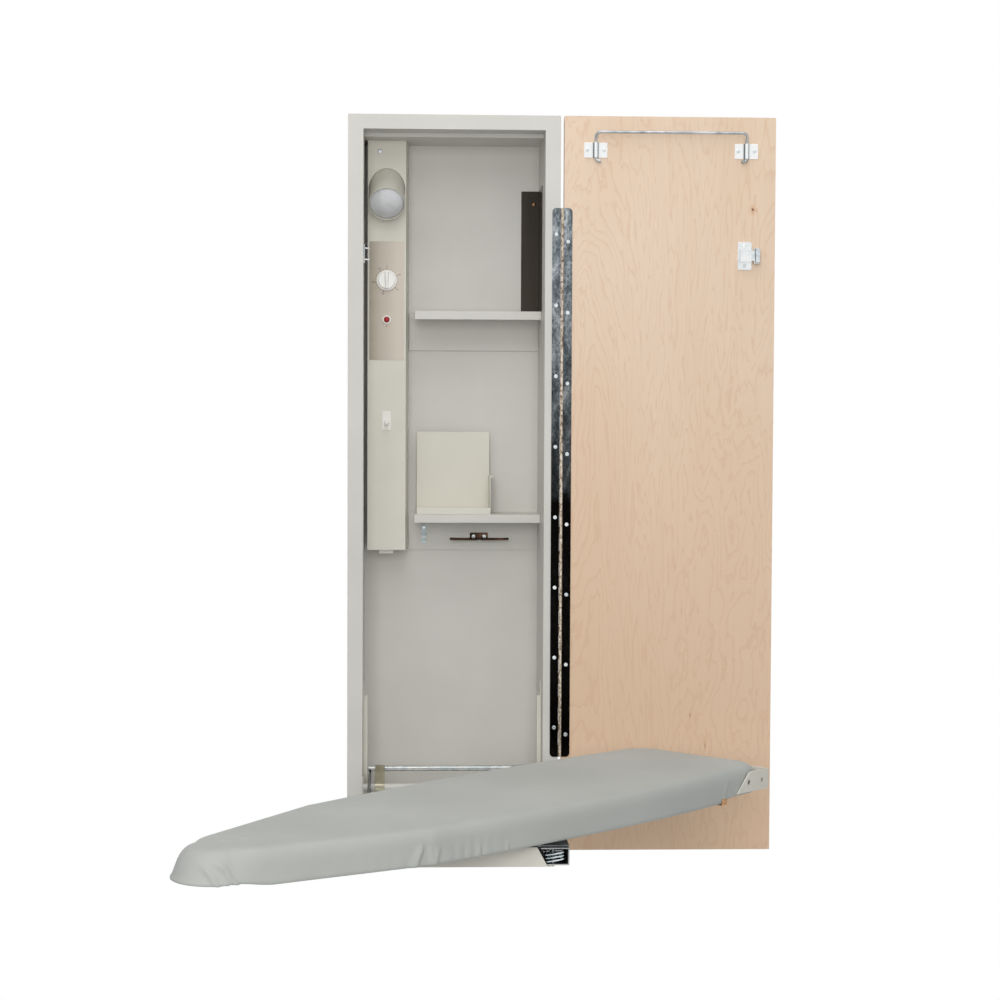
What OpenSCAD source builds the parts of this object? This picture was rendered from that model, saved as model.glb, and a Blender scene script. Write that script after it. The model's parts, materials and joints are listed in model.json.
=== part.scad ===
// Ironing board cabinet with a mirrored door, a fold-down board and its fittings.
// Sizes are in millimetres. Inside the modules x runs to the right, y from the front plane
// towards the wall and z up from the bottom edge; placed() then puts the origin at the
// middle of the back face.

/* [Cabinet] */
// Width over the front surround
cab_w = 381; // [372:1:400]
// Height over the front surround
cab_h = 1325; // [1320:1:1400]
// Depth from the front plane to the back face
cab_d = 200; // [190:1:225]
// Depth of the surround, which stands in front of the wall
surround_d = 60; // [56:1:75]
// Width of the surround's face at the sides
border_w = 27.5; // [24:0.5:28]
// Height of the surround's face at the top and bottom
border_h = 26; // [22:1:28]
// Radius of the surround's outer corners
corner_r = 2.5; // [1:0.5:5]
// Thickness of the cabinet's sheet steel
sheet_t = 1.5; // [1:0.1:2]
// Drop of the recessed body's ceiling below the surround's opening
ceiling_drop = 7; // [4:1:10]
// Width of the body's flange behind the surround
flange_w = 16; // [13:1:20]

/* [Wall fixing] */
// Radius of the holes for the stud screws
stud_hole_r = 2.6; // [2:0.1:3.5]
// Height of the lower stud hole
stud_z = 330; // [310:5:400]
// Distance of the upper stud hole below the surround's top
stud_drop = 75; // [60:5:120]
// Depth of the stud holes behind the front plane
stud_y = 88; // [80:1:100]
// Radius of the supply cable's hole in the back
inlet_r = 11; // [8:0.5:12]
// Height of the supply cable's hole
inlet_z = 640; // [620:5:700]

/* [Door] */
// Thickness of the door panel
door_t = 18; // [15:1:22]
// Thickness of the mirror glass
mirror_t = 5; // [3:0.5:6]
// How far the mirror stands past the panel's free edge
mirror_over = 1.5; // [0:0.5:3]
// Gap between the surround and the open door
door_gap = 6.2; // [6:0.1:8]

/* [Piano hinge] */
// Length of the hinge
hinge_len = 990; // [890:10:1050]
// Height of the hinge's lower end
hinge_z = 170.5; // [150:0.5:200]
// Thickness of a hinge leaf
leaf_t = 1.2; // [1:0.1:1.3]
// Reach of each leaf from the pin
leaf_w = 18; // [16:0.5:20]
// Radius of the hinge pin
hinge_pin_r = 1.4; // [1.2:0.1:1.6]
// Outer radius of the knuckles
knuckle_r = 2.7; // [2.5:0.1:2.9]
// Length of one knuckle
knuckle_len = 22; // [18:1:30]
// End gap between knuckles
knuckle_gap = 0.3; // [0.2:0.1:0.6]
// Distance between the screws of one leaf
hinge_screw_pitch = 127; // [120:1:130]
// Height of the cabinet leaf's lowest screw above the hinge's end
hinge_screw_z = 53.5; // [40:0.5:60]
// How far the door leaf's screws sit lower than the cabinet leaf's
hinge_screw_step = 12.8; // [10:0.2:16]
// Radius of a hinge screw's head
screw_head_r = 3.6; // [3:0.1:4]

/* [Garment rail] */
// Radius of the rail's wire
rail_wire_r = 2.6; // [2:0.1:3]
// Distance between the rail's legs
rail_span = 271.5; // [250:0.5:280]
// Distance of the rail's top bar below the door's top edge
rail_drop = 30; // [27:1:36]
// Distance of the rail's middle from the door's hinged edge
rail_mid = 191.75; // [188:0.25:195]
// Stand-off of the rail from the door
rail_off = 16; // [12:1:20]
// Height of the rail's brackets
rail_bracket_h = 27; // [22:1:30]
// Width of the rail's brackets
rail_bracket_w = 42; // [38:1:46]

/* [Roller catch] */
// Height of the catch on the door
catch_z = 1077; // [1050:1:1100]
// Distance of the catch from the door's hinged edge
catch_in = 326; // [310:1:330]
// Radius of the catch's roller
roller_r = 5; // [4:0.2:5.4]
// Length of the catch's roller
roller_len = 24; // [18:1:26]
// Travel of the catch's sprung slide
catch_travel = 4; // [3:0.5:5]

/* [Shelves] */
// Height of the upper shelf's top
upper_shelf_z = 979.5; // [960:0.5:1000]
// Height of the lower shelf's top
lower_shelf_z = 604.5; // [595:0.5:615]
// Depth of the shelves' front lip behind the front plane
shelf_y = 104; // [102:1:110]
// Height of the shelves' front lip
shelf_lip = 15.5; // [12:0.5:20]
// Gap between the wiring channel's front edge and the shelves
shelf_gap = 16.5; // [12:0.5:20]
// Thickness of the back rails
back_rail_t = 4; // [3:0.5:6]
// Reach of the back rails below their shelf
back_rail_h = 71; // [68:1:74]
// Thickness of the shelf sheet
shelf_t = 1.5; // [1:0.1:2]

/* [Heat shield] */
// Height of the heat shield above the upper shelf
shield_h = 229; // [200:1:250]
// Width of the heat shield's back leg
shield_back = 33; // [28:1:40]
// Depth of the heat shield's side leg
shield_side = 112; // [90:1:116]
// Thickness of the heat shield
shield_t = 0.8; // [0.6:0.1:1.2]

/* [Pocket] */
// Width of the pocket
pocket_w = 136.5; // [120:0.5:140]
// Height of the pocket's back plate
pocket_h = 152; // [130:1:170]
// Height of the pocket's right wing
wing_h = 70; // [60:1:90]
// Height of the pocket's front lip
pocket_lip = 12; // [8:1:20]
// Depth of the pocket
pocket_d = 78; // [60:1:84]

/* [Wiring channel] */
// Gap between the cabinet's left side and the wiring channel
channel_gap = 6; // [5:0.5:6.5]
// Width of the wiring channel's face
channel_w = 70.5; // [70:0.5:71.5]
// How far the channel's right side leans out
channel_splay = 5.5; // [4:0.5:6]
// Depth of the channel's face behind the front plane
channel_y = 116; // [114:1:120]
// Height of the channel's lower end
channel_z = 538; // [530:1:550]
// Thickness of the channel's sheet
channel_t = 1.2; // [1:0.1:1.4]

/* [Lamp] */
// Height of the lamp's mouth
lamp_z = 1171; // [1160:1:1180]
// Depth of the lamp's mouth behind the front plane
lamp_y = 67; // [60:1:72]
// Tilt of the lamp below level
lamp_tilt = 32; // [26:1:36]
// Outer radius of the lamp housing
lamp_r = 32.4; // [31.8:0.1:32.6]
// Length of the lamp housing
lamp_len = 112; // [106:1:116]

/* [Timer and switch] */
// Height of the dial plate's lower edge
dial_z = 889; // [880:1:895]
// Height of the dial plate
dial_h = 218; // [214:1:224]
// Height of the timer's knob
knob_z = 1035.5; // [1030:0.5:1045]
// Radius of the timer's knob
knob_r = 19; // [16:0.5:22]
// Height of the pilot light
pilot_z = 963.5; // [955:0.5:975]
// Radius of the pilot light's lens
lens_r = 5.4; // [4.5:0.1:6]
// Radius of the timer's shaft
shaft_r = 3; // [2.5:0.1:3.5]
// Height of the safety switch's plunger
switch_z = 773; // [765:1:780]
// Radius of the plunger's stem
plunger_r = 3.2; // [2.8:0.1:3.4]
// Travel of the plunger
plunger_travel = 5; // [3:0.5:6]

/* [Board] */
// Height of the board's padded top
board_z = 208; // [206:1:209]
// Length of the board over its cover
board_len = 1150; // [1120:5:1155]
// Half width of the board at its heel
heel_hw = 138; // [132:1:142]
// Half width of the board at its widest
belly_hw = 158; // [150:1:159]
// Half width of the board where its taper begins
taper_hw = 140; // [136:1:145]
// Half width of the board's blunt nose
nose_hw = 54; // [48:1:60]
// Distance from the heel to the widest place
belly_s = 400; // [380:10:420]
// Distance from the heel to the start of the taper
taper_s = 800; // [780:10:820]
// Radius of the heel's corners
heel_r = 50; // [40:1:55]
// Height of the cover's skirt
skirt_h = 56; // [54:1:58]
// Thickness of the cover
cover_t = 2.4; // [2:0.1:3]
// How far the nose leans back from the hem to the crown
nose_lean = 18; // [14:1:20]
// How much higher the hem lies at the nose and the heel
hem_rise = 7; // [6:0.5:7.5]
// Rise of the padded crown
crown = 3; // [2:0.5:4]
// Thickness of the pad
pad_t = 12; // [10:1:14]
// Depth of the board's steel pan
pan_h = 29; // [28:0.5:31]
// Thickness of the pan's sheet
pan_t = 1.6; // [1.2:0.1:2]

/* [Arm] */
// Depth of the fold's axis behind the front plane
fold_y = 8; // [7.5:0.5:9]
// Height of the fold's axis
fold_z = 115; // [114:0.5:116]
// Radius of the pivot shaft
pivot_r = 6; // [5:0.5:7]
// Gap between a rail and the opening's side
rail_gap = 2.5; // [2:0.5:5]
// Width of a rail's flanges
rail_w = 43; // [38:1:44]
// Height of a rail
rail_h = 26.5; // [25:0.5:27]
// Height of the rails' underside
rail_under = 117; // [116.5:0.1:117.2]
// Thickness of a rail's sheet
rail_t = 2; // [1.6:0.1:2.4]
// Reach of the rails in front of the front plane
arm_reach = 688; // [680:1:700]
// Distance in front of the front plane at which the rails begin
rail_start = 236; // [230:1:242]
// Distance of the swivel's axis behind the arm's front end
swivel_in = 75; // [72:1:78]
// Distance from the board's heel to the swivel's axis
swivel_s = 600; // [598:1:602]
// Angle between the board and straight ahead, as it stands
swing = 45; // [40:1:50]
// Radius of the swivel's bolt
bolt_r = 6; // [5:0.5:7]
// Radius of the swivel's plates
swivel_r = 88; // [70:1:95]

/* [Stop and brackets] */
// Radius of the cross rod
rod_r = 4.75; // [4:0.25:5]
// Depth of the cross rod behind the front plane
rod_y = 70; // [66:1:74]
// Height of the cross rod
rod_z = 138.4; // [137:0.1:140]
// Height of the side brackets' upper end
bracket_top = 277; // [260:1:285]
// Width of the side brackets' front flange
bracket_flange = 6.5; // [5:0.5:7]
// Depth of the side brackets' front flange
bracket_y = 42; // [40:1:46]

/* [Counterbalance springs] */
// Outer radius of a spring
spring_r = 9; // [7.5:0.25:9.5]
// Radius of the spring wire
spring_wire = 1.4; // [1.2:0.1:1.5]
// Number of curls in each spring
spring_curls = 28; // [16:1:32]
// Distance between two curls
spring_pitch = 8; // [6:0.5:9]

/* [Clearances] */
// Radial clearance of a turning fit
run = 0.05; // [0.03:0.01:0.09]
// Clearance between parts that only pass each other
pass = 0.3; // [0.2:0.05:0.4]

/* [Hidden] */
$fn = 48;

op = cab_w / 2 - border_w;
stud_pitch = cab_h - stud_drop - stud_z;
rail_z = cab_h - rail_drop;
channel_x = channel_gap - op;
rail_hw = op - rail_gap;
swivel_y = arm_reach - swivel_in;
z_top = cab_h - border_h;
z_ceil = z_top - ceiling_drop;
y_in = cab_d - sheet_t;
door_x = cab_w / 2 + door_gap;
hinge_x = (cab_w / 2 + door_x) / 2;
hinge_y = -leaf_t - 0.2;
knuckle_n = floor(hinge_len / knuckle_len);
hinge_top = hinge_z + knuckle_n * knuckle_len;
channel_r = channel_x + channel_w;
shelf_x = channel_r + shelf_gap;
lamp_x = channel_x + channel_w / 2;
face_x = lamp_x;
z_pad = board_z - cover_t - crown;
z_pan = z_pad - pass - pad_t;
z_hem = board_z - skirt_h;
deck_z = rail_under + rail_h;
ear_x = op - 15;
ear_t = 3.5;
steel = "#cfccc5";
cream = "#d8d4c9";
zinc = "#aeb4b6";

module placed() {
    translate([0, -cab_d, -cab_h / 2]) children();
}

module box(a, b) {
    translate(a) cube([b[0] - a[0], b[1] - a[1], b[2] - a[2]]);
}

module along_x(r, x0, x1, y, z) {
    translate([x0, y, z]) rotate([0, 90, 0]) cylinder(r = r, h = x1 - x0);
}

module along_y(r, y0, y1, x, z) {
    translate([x, y1, z]) rotate([90, 0, 0]) cylinder(r = r, h = y1 - y0);
}

module along_z(r, z0, z1, x, y) {
    translate([x, y, z0]) cylinder(r = r, h = z1 - z0);
}

// a drawing in x and z, given a thickness from y0 to y1
module facing(y0, y1) {
    translate([0, y1, 0]) rotate([90, 0, 0]) linear_extrude(y1 - y0) children();
}

module round_rect(x0, z0, x1, z1, r) {
    translate([x0 + r, z0]) square([x1 - x0 - 2 * r, z1 - z0]);
    translate([x0, z0 + r]) square([x1 - x0, z1 - z0 - 2 * r]);
    for (x = [x0 + r, x1 - r], z = [z0 + r, z1 - r]) translate([x, z]) circle(r);
}

module both_sides() {
    children();
    mirror([1, 0, 0]) children();
}

// ---- surround and recessed body ----

module surround() {
    color(steel) placed() difference() {
        facing(0, surround_d) round_rect(-cab_w / 2, 0, cab_w / 2, cab_h, corner_r);
        box([-op, -1, border_h], [op, surround_d + 1, z_top]);
        facing(sheet_t, surround_d + 1) difference() {
            round_rect(-cab_w / 2 + sheet_t, sheet_t, cab_w / 2 - sheet_t, cab_h - sheet_t, 1);
            translate([-op - sheet_t, border_h - sheet_t])
                square([2 * (op + sheet_t), z_top - border_h + 2 * sheet_t]);
        }
        for (i = [0:hinge_count(0) - 1])
            along_y(1.6, -1, sheet_t + 1, hinge_x - leaf_screw, hinge_screw_height(i, 0));
        for (z = strike_z) along_x(1.5, -op - sheet_t - 1, -op + 1, strike_y, z);
        both_sides() along_x(pivot_r + pass, op - 1, op + sheet_t + 1, fold_y, fold_z);
    }
}

// folded body: back, sides, ceiling and floor, and the flange strips behind the surround
module cabinet_body() {
    x1 = op + sheet_t;
    y1 = surround_d + sheet_t;
    color(steel) placed() {
        difference() {
            box([-x1, y_in, border_h - sheet_t], [x1, cab_d, z_ceil + sheet_t]);
            along_y(inlet_r, y_in - 1, cab_d + 1, face_x, inlet_z);
        }
        both_sides() difference() {
            box([op, y1, border_h], [x1, y_in, z_ceil]);
            for (z = [stud_z, stud_z + stud_pitch]) along_x(stud_hole_r, op - 1, x1 + 1, stud_y, z);
        }
        for (z = [border_h - sheet_t, z_ceil]) box([-x1, y1, z], [x1, y_in, z + sheet_t]);
        both_sides()
            box([op, surround_d, border_h - flange_w], [op + flange_w, y1, z_ceil + flange_w]);
        for (z = [border_h - flange_w, z_ceil]) box([-op, surround_d, z], [op, y1, z + flange_w]);
    }
}

// ---- side brackets, cross rod, pivot ----

// plate against the side wall, with a nose that carries the pivot shaft
module side_bracket() {
    web_t = 1.6;
    x1 = op - pass;
    difference() {
        union() {
            box([x1 - web_t, bracket_y, 60], [x1, bracket_y + 78, bracket_top]);
            translate([x1 - web_t, 0, 0]) rotate([90, 0, 90]) linear_extrude(web_t)
                polygon([[bracket_y, bracket_top], [bracket_y + 26, bracket_top],
                    [bracket_y + 26, bracket_top + 26], [bracket_y + 14, bracket_top + 20]]);
            box([x1 - web_t, 1, fold_z - 22], [x1, bracket_y + 1, fold_z + 20]);
            box([x1 - web_t - bracket_flange, bracket_y, 60], [x1, bracket_y + web_t, bracket_top]);
        }
        along_x(pivot_r, x1 - 20, x1 + 1, fold_y, fold_z);
        along_x(rod_r, x1 - 20, x1 + 1, rod_y, rod_z);
    }
}

module side_brackets() {
    color(cream) placed() both_sides() side_bracket();
}

module cross_rod() {
    color(zinc) placed() along_x(rod_r, pass - op, op - pass, rod_y, rod_z);
}

module pivot_shaft() {
    color("#7d8082") placed() along_x(pivot_r, pass - op, op - pass, fold_y, fold_z);
}

// a strap hooks over the rod and holds the pivot shaft
module tie_strap(x) {
    st = 2;
    len_y = rod_y - fold_y;
    len_z = rod_z - fold_z;
    slope = atan2(len_z, len_y);
    dist = sqrt(len_y * len_y + len_z * len_z);
    translate([x, fold_y, fold_z]) rotate([90, 0, 90]) rotate([0, 0, slope])
        difference() {
            linear_extrude(17.5) {
                circle(pivot_r + st);
                translate([dist, 0]) circle(rod_r + st);
                translate([0, rod_r]) square([dist, st]);
                translate([0, -rod_r - st]) square([dist, st]);
            }
            translate([0, 0, -1]) cylinder(r = pivot_r, h = 20);
            translate([dist, 0, -1]) cylinder(r = rod_r, h = 20);
        }
}

module tie_straps() {
    color("#a39c82") placed() {
        tie_strap(22.5 - op);
        tie_strap(op - 40);
    }
}

// ---- shelves and what stands on them ----

module shelf(z) {
    box([shelf_x, shelf_y, z - shelf_t], [op - 0.2, y_in, z]);
    box([shelf_x, shelf_y, z - shelf_lip], [op - 0.2, shelf_y + shelf_t, z]);
    box([shelf_x, shelf_y, z - shelf_lip], [op - 0.2, shelf_y + 9, z - shelf_lip + shelf_t]);
}

module back_rail(z) {
    box([splay_x(y_in - back_rail_t) + 1, y_in - back_rail_t, z - back_rail_h],
        [op, y_in, z - shelf_t]);
}

module upper_shelf() {
    color(steel) placed() shelf(upper_shelf_z);
}

module lower_shelf() {
    color(steel) placed() shelf(lower_shelf_z);
}

module upper_back_rail() {
    color(steel) placed() back_rail(upper_shelf_z);
}

module lower_back_rail() {
    color(steel) placed() difference() {
        back_rail(lower_shelf_z);
        for (x = hook_screw_x)
            along_y(2, y_in - back_rail_t - 1, y_in - 1, x, hook_z);
        along_y(2, y_in - back_rail_t - 1, y_in - 1, clip_x, clip_z);
    }
}

module heat_shield() {
    color("#4a463f") placed() difference() {
        union() {
            box([op - shield_back, y_in - shield_t, upper_shelf_z],
                [op, y_in, upper_shelf_z + shield_h]);
            box([op - shield_t, y_in - shield_side, upper_shelf_z],
                [op, y_in, upper_shelf_z + shield_h]);
        }
        along_y(2, y_in - 2, y_in + 0.5, op - 9, upper_shelf_z + shield_h - 24);
    }
}

module shield_rivet() {
    color(zinc) placed() {
        x = op - 9;
        z = upper_shelf_z + shield_h - 24;
        along_y(2, y_in - shield_t, y_in, x, z);
        along_y(3.6, y_in - shield_t - 1.4, y_in - shield_t, x, z);
    }
}

// an open pocket: back plate, floor, front lip and one wing with a hemmed top
module pocket() {
    px = shelf_x + 4.5;
    y0 = shelf_y;
    y1 = shelf_y + pocket_d;
    z0 = lower_shelf_z;
    color(cream) placed() {
        box([px, y0, z0], [px + pocket_w, y1, z0 + shelf_t]);
        box([px, y1 - shelf_t, z0], [px + pocket_w, y1, z0 + pocket_h]);
        box([px, y0, z0], [px + pocket_w, y0 + shelf_t, z0 + pocket_lip]);
        box([px + pocket_w - shelf_t, y0, z0], [px + pocket_w, y1, z0 + wing_h]);
        box([px + pocket_w - shelf_t, y0, z0 + wing_h - shelf_t],
            [px + pocket_w + 5, y1, z0 + wing_h]);
    }
}

hook_z = 559;
hook_screw_x = [op - 120.6, op - 100.7];
hook_mid = (hook_screw_x[0] + hook_screw_x[1]) / 2;
clip_x = shelf_x + 18.5;
clip_z = 576;

// a bent wire with two eyes, whose arms stand off for the lead to be wound on
module cord_hook() {
    color(zinc) placed() {
        y0 = y_in - back_rail_t;
        difference() {
            facing(y0 - 2, y0) round_rect(hook_screw_x[0] - 7, hook_z - 7,
                hook_screw_x[1] + 7, hook_z + 7, 3);
            for (x = hook_screw_x) along_y(2.2, y0 - 3, y0 + 1, x, hook_z);
        }
        for (s = [-1, 1]) {
            along_y(2.4, y0 - 24, y0 - 2, hook_mid + s * 1 * 3.4, hook_z - 4);
            translate([hook_mid + s * 3.4, y0 - 24, hook_z - 4]) sphere(2.4);
            along_x(2.4, min(hook_mid + s * 3.4, hook_mid + s * 53),
                max(hook_mid + s * 3.4, hook_mid + s * 53), y0 - 24, hook_z - 4);
            translate([hook_mid + s * 53, y0 - 24, hook_z - 4]) sphere(2.4);
        }
    }
}

// a plastic loop clip that keeps the lead off the shelf
module cord_clip() {
    color("#dfe0de") placed() difference() {
        union() {
            facing(y_in - back_rail_t - 1.5, y_in - back_rail_t)
                round_rect(clip_x - 5, clip_z - 30, clip_x + 5, clip_z + 5, 2);
            translate([clip_x - 5, y_in - back_rail_t - 5.6, clip_z - 18]) rotate([0, 90, 0])
                cylinder(r = 5.6, h = 10);
        }
        translate([clip_x - 6, y_in - back_rail_t - 5.6, clip_z - 18]) rotate([0, 90, 0])
            cylinder(r = 4.1, h = 12);
        along_y(2.2, y_in - 20, y_in, clip_x, clip_z);
    }
}

// screws of the hook and the clip, in the lower back rail, and of the channel's cover
module fitting_screws() {
    y0 = y_in - back_rail_t;
    color(zinc) placed() {
        for (x = hook_screw_x) {
            along_y(2, y0 - 2, y_in - 1, x, hook_z);
            along_y(4.2, y0 - 4.6, y0 - 2, x, hook_z);
        }
        along_y(2, y0 - 1.5, y_in - 1, clip_x, clip_z);
        along_y(3.8, y0 - 3.7, y0 - 1.5, clip_x, clip_z);
        along_y(2, channel_y, channel_y + 12, tab_x, z_ceil - 20);
        along_y(4.2, channel_y - 2.4, channel_y, tab_x, z_ceil - 20);
    }
}

// ---- wiring channel ----

function splay_x(y) = channel_r + channel_splay * (y - channel_y) / (y_in - channel_y);

module channel_plan(inset, deep) {
    y0 = channel_y + inset;
    polygon([[channel_x + inset, y_in + deep], [channel_x + inset, y0],
        [splay_x(y0) - inset, y0], [splay_x(y_in + deep) - inset, y_in + deep]]);
}

module on_lamp() {
    translate([lamp_x, lamp_y, lamp_z]) rotate([lamp_tilt - 90, 0, 0]) children();
}

tab_z = z_ceil - 12;
tab_x = lamp_x - 13;

module channel_cover() {
    color(cream) placed() difference() {
        translate([0, 0, channel_z]) linear_extrude(z_ceil - 0.2 - channel_z) difference() {
            channel_plan(0, 0);
            channel_plan(channel_t, 1);
        }
        on_lamp() cylinder(r = lamp_r + 0.9, h = 90);
        along_y(shaft_r + 2, channel_y - 1, channel_y + 4, face_x, knob_z);
        along_y(lens_r + 1.2, channel_y - 1, channel_y + 4, face_x, pilot_z);
        along_y(plunger_r + 1, channel_y - 1, channel_y + 4, face_x, switch_z);
        along_y(2.2, channel_y - 1, channel_y + 4, tab_x, z_ceil - 20);
    }
}

// tray on the cabinet's back, with the end plate for the outlet and the cover's tab
module channel_back() {
    color(cream) placed() difference() {
        union() {
            difference() {
                translate([0, 0, channel_z + 0.2]) linear_extrude(z_ceil - 0.4 - channel_z)
                    channel_plan(channel_t + 0.2, 0);
                box([channel_x - 1, channel_y - 1, channel_z + channel_t + 0.2],
                    [channel_r + 9, y_in - 14, z_ceil]);
                translate([0, 0, channel_z + channel_t + 0.2]) linear_extrude(z_ceil)
                    channel_plan_cut();
            }
            box([tab_x - 8, channel_y + channel_t, tab_z - channel_t],
                [tab_x + 8, y_in - 1, tab_z]);
            box([tab_x - 8, channel_y + channel_t, tab_z - 15],
                [tab_x + 8, channel_y + 2 * channel_t, tab_z]);
        }
        along_y(2, channel_y, channel_y + 6, tab_x, z_ceil - 20);
        along_y(inlet_r + 1, y_in - 3, y_in + 1, face_x, inlet_z);
        box([face_x - 13.4, 137, channel_z - 1], [face_x + 13.4, 177.4, channel_z + 4]);
    }
}

module channel_plan_cut() {
    y1 = y_in - channel_t;
    x0 = channel_x + 2 * channel_t + 0.2;
    polygon([[x0, y1], [x0, channel_y - 1], [splay_x(channel_y - 1) - 2 * channel_t - 0.2, channel_y - 1],
        [splay_x(y1) - 2 * channel_t - 0.2, y1]]);
}

// ---- lamp ----

module lamp_housing() {
    color(cream) placed() on_lamp() difference() {
        cylinder(r = lamp_r, h = lamp_len);
        translate([0, 0, -1]) cylinder(r = lamp_r - 0.8, h = lamp_len - 0.2);
        cylinder(r = 19, h = lamp_len + 1);
    }
}

module lamp_socket() {
    color("#e8e4da") placed() on_lamp() difference() {
        union() {
            translate([0, 0, 74]) cylinder(r = 17.5, h = lamp_len - 74);
            translate([0, 0, lamp_len - 2]) cylinder(r = 18.7, h = 2);
            translate([0, 0, lamp_len - 4]) cylinder(r = 24, h = 2.8);
        }
        translate([0, 0, 73]) cylinder(r = 13.2, h = 26);
    }
}

// reflector lamp: a shallow domed face, a bowl, a neck and a screw cap
module reflector_bulb() {
    br = lamp_r - 1.1;
    face = [for (i = [0:5]) [br * sin(i * 15), 3 - 6 * cos(i * 15)]];
    bowl = [for (i = [0:8]) [br - (br - 14) * pow(sin(i * 11.25), 2), 10 + i * 6.2]];
    color("#e6e8ea") placed() on_lamp() rotate_extrude()
        polygon(concat([[0, -3]], [for (i = [1:5]) face[i]], [[br, 4]], bowl,
            [[13, 66], [13, 98], [0, 98]]));
}

// ---- timer, pilot light and safety switch ----

module dial_plate() {
    color("#c9c1b6") placed() difference() {
        facing(channel_y - 0.6, channel_y)
            round_rect(channel_x + 3.2, dial_z, channel_r - 3.2, dial_z + dial_h, 1.5);
        along_y(shaft_r + 2, channel_y - 2, channel_y + 1, face_x, knob_z);
        along_y(lens_r + 1.2, channel_y - 2, channel_y + 1, face_x, pilot_z);
    }
}

module timer_body() {
    y0 = channel_y + channel_t;
    color("#b9b4a8") placed() difference() {
        box([face_x - 25, y0, knob_z - 26], [face_x + 25, y0 + 36, knob_z + 26]);
        along_y(shaft_r + run, y0 - 1, y0 + 12, face_x, knob_z);
    }
}

module timer_shaft() {
    color(zinc) placed()
        along_y(shaft_r, channel_y - 9, channel_y + channel_t + 11.5, face_x, knob_z);
}

module timer_knob() {
    color("#eeece6") placed() difference() {
        union() {
            along_y(knob_r, channel_y - 4.6, channel_y - 1.4, face_x, knob_z);
            along_y(knob_r - 3.5, channel_y - 9, channel_y - 4.6, face_x, knob_z);
            box([face_x - 4, channel_y - 13.5, knob_z - knob_r + 4],
                [face_x + 4, channel_y - 9, knob_z + knob_r - 4]);
        }
        along_y(shaft_r, channel_y - 9, channel_y, face_x, knob_z);
    }
}

module pilot_bezel() {
    y0 = channel_y - 0.6;
    color("#efede8") placed() difference() {
        union() {
            along_y(lens_r + 2.6, y0 - 3, y0, face_x, pilot_z);
            along_y(lens_r + 1, y0, y0 + 20, face_x, pilot_z);
        }
        along_y(lens_r, y0 - 4, y0 + 6, face_x, pilot_z);
    }
}

module pilot_lens() {
    y0 = channel_y - 0.6;
    color("#c8202a") placed() {
        along_y(lens_r, y0 - 3.5, y0 + 6, face_x, pilot_z);
        translate([face_x, y0 - 3.5, pilot_z]) rotate([90, 0, 0]) intersection() {
            translate([0, 0, -2]) sphere(lens_r + 0.3);
            cylinder(r = lens_r, h = 8);
        }
    }
}

module switch_plate() {
    color("#e6e3da") placed() difference() {
        facing(channel_y - 1.4, channel_y)
            round_rect(face_x - 8, switch_z - 13, face_x + 8, switch_z + 22, 1.5);
        along_y(plunger_r + 1, channel_y - 3, channel_y + 1, face_x, switch_z);
    }
}

module switch_body() {
    y0 = channel_y + channel_t;
    color("#3c3c3a") placed() difference() {
        box([face_x - 10, y0, switch_z - 18], [face_x + 10, y0 + 30, switch_z + 22]);
        along_y(plunger_r + run, y0 - 1, y0 + 8 + plunger_travel + 1, face_x, switch_z);
    }
}

module switch_plunger() {
    color("#f2f1ec") placed() {
        along_y(plunger_r, channel_y - 14, channel_y + channel_t + 8, face_x, switch_z);
        translate([face_x, channel_y - 14, switch_z]) sphere(plunger_r + 1.2);
    }
}

module outlet() {
    color("#efeee9") placed() difference() {
        union() {
            box([face_x - 13.2, 137.2, channel_z - 8], [face_x + 13.2, 177.2, channel_z + 26]);
            box([face_x - 15.5, 135, channel_z + 1.4], [face_x + 15.5, 179.4, channel_z + 3.4]);
        }
        for (s = [-1, 1])
            box([face_x + s * 6.3 - 1, 152, channel_z - 9], [face_x + s * 6.3 + 1, 160, channel_z + 8]);
        along_z(2.4, channel_z - 9, channel_z + 8, face_x, 167);
    }
}

// the loom from the supply hole to the outlet, switch, timer and lamp
module inner_wiring() {
    wr = 3;
    wx = channel_r - 5;
    wy = y_in - channel_t - wr - 0.3;
    top = lamp_z + sin(lamp_tilt) * lamp_len + 30;
    color("#3a3a3a") placed() {
        along_z(wr, channel_z + 15, top, wx, wy);
        along_x(wr, face_x + 13.2, wx, 160, channel_z + 15);
        translate([wx, wy, channel_z + 15]) sphere(wr);
        along_y(wr, 160, wy, wx, channel_z + 15);
        translate([wx, 160, channel_z + 15]) sphere(wr);
        along_y(wr, channel_y + channel_t + 20, wy, wx, switch_z);
        translate([wx, channel_y + channel_t + 20, switch_z]) sphere(wr);
        along_x(wr, face_x + 10, wx, channel_y + channel_t + 20, switch_z);
        translate([wx, channel_y + channel_t + 20, knob_z]) sphere(wr);
        along_y(wr, channel_y + channel_t + 20, wy, wx, knob_z);
        along_x(wr, face_x + 25, wx, channel_y + channel_t + 20, knob_z);
        translate([wx, wy, top]) sphere(wr);
    }
}

// ---- catch strike ----

strike_z = [catch_z - 10, catch_z + 10];
strike_y = 14;

module catch_strike() {
    color(zinc) placed() difference() {
        union() {
            box([-op, 4, catch_z - 17], [-op + 1.5, 26, catch_z + 17]);
            along_z(1.5, catch_z - 17, catch_z + 17, -op + 1.5, 6);
        }
        for (z = strike_z) along_x(1.7, -op - 1, -op + 4, strike_y, z);
    }
}

module strike_screws() {
    color(zinc) placed() for (z = strike_z) {
        along_x(1.5, -op - 8, -op + 1.5, strike_y, z);
        along_x(3, -op + 1.5, -op + 3, strike_y, z);
    }
}

// ---- door ----

function hinge_screw_height(i, low) = hinge_z + hinge_screw_z - low + i * hinge_screw_pitch;
function hinge_count(low) =
    floor((hinge_len - 8 - hinge_screw_z + low) / hinge_screw_pitch) + 1;
leaf_screw = leaf_w - 7.5;

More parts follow.
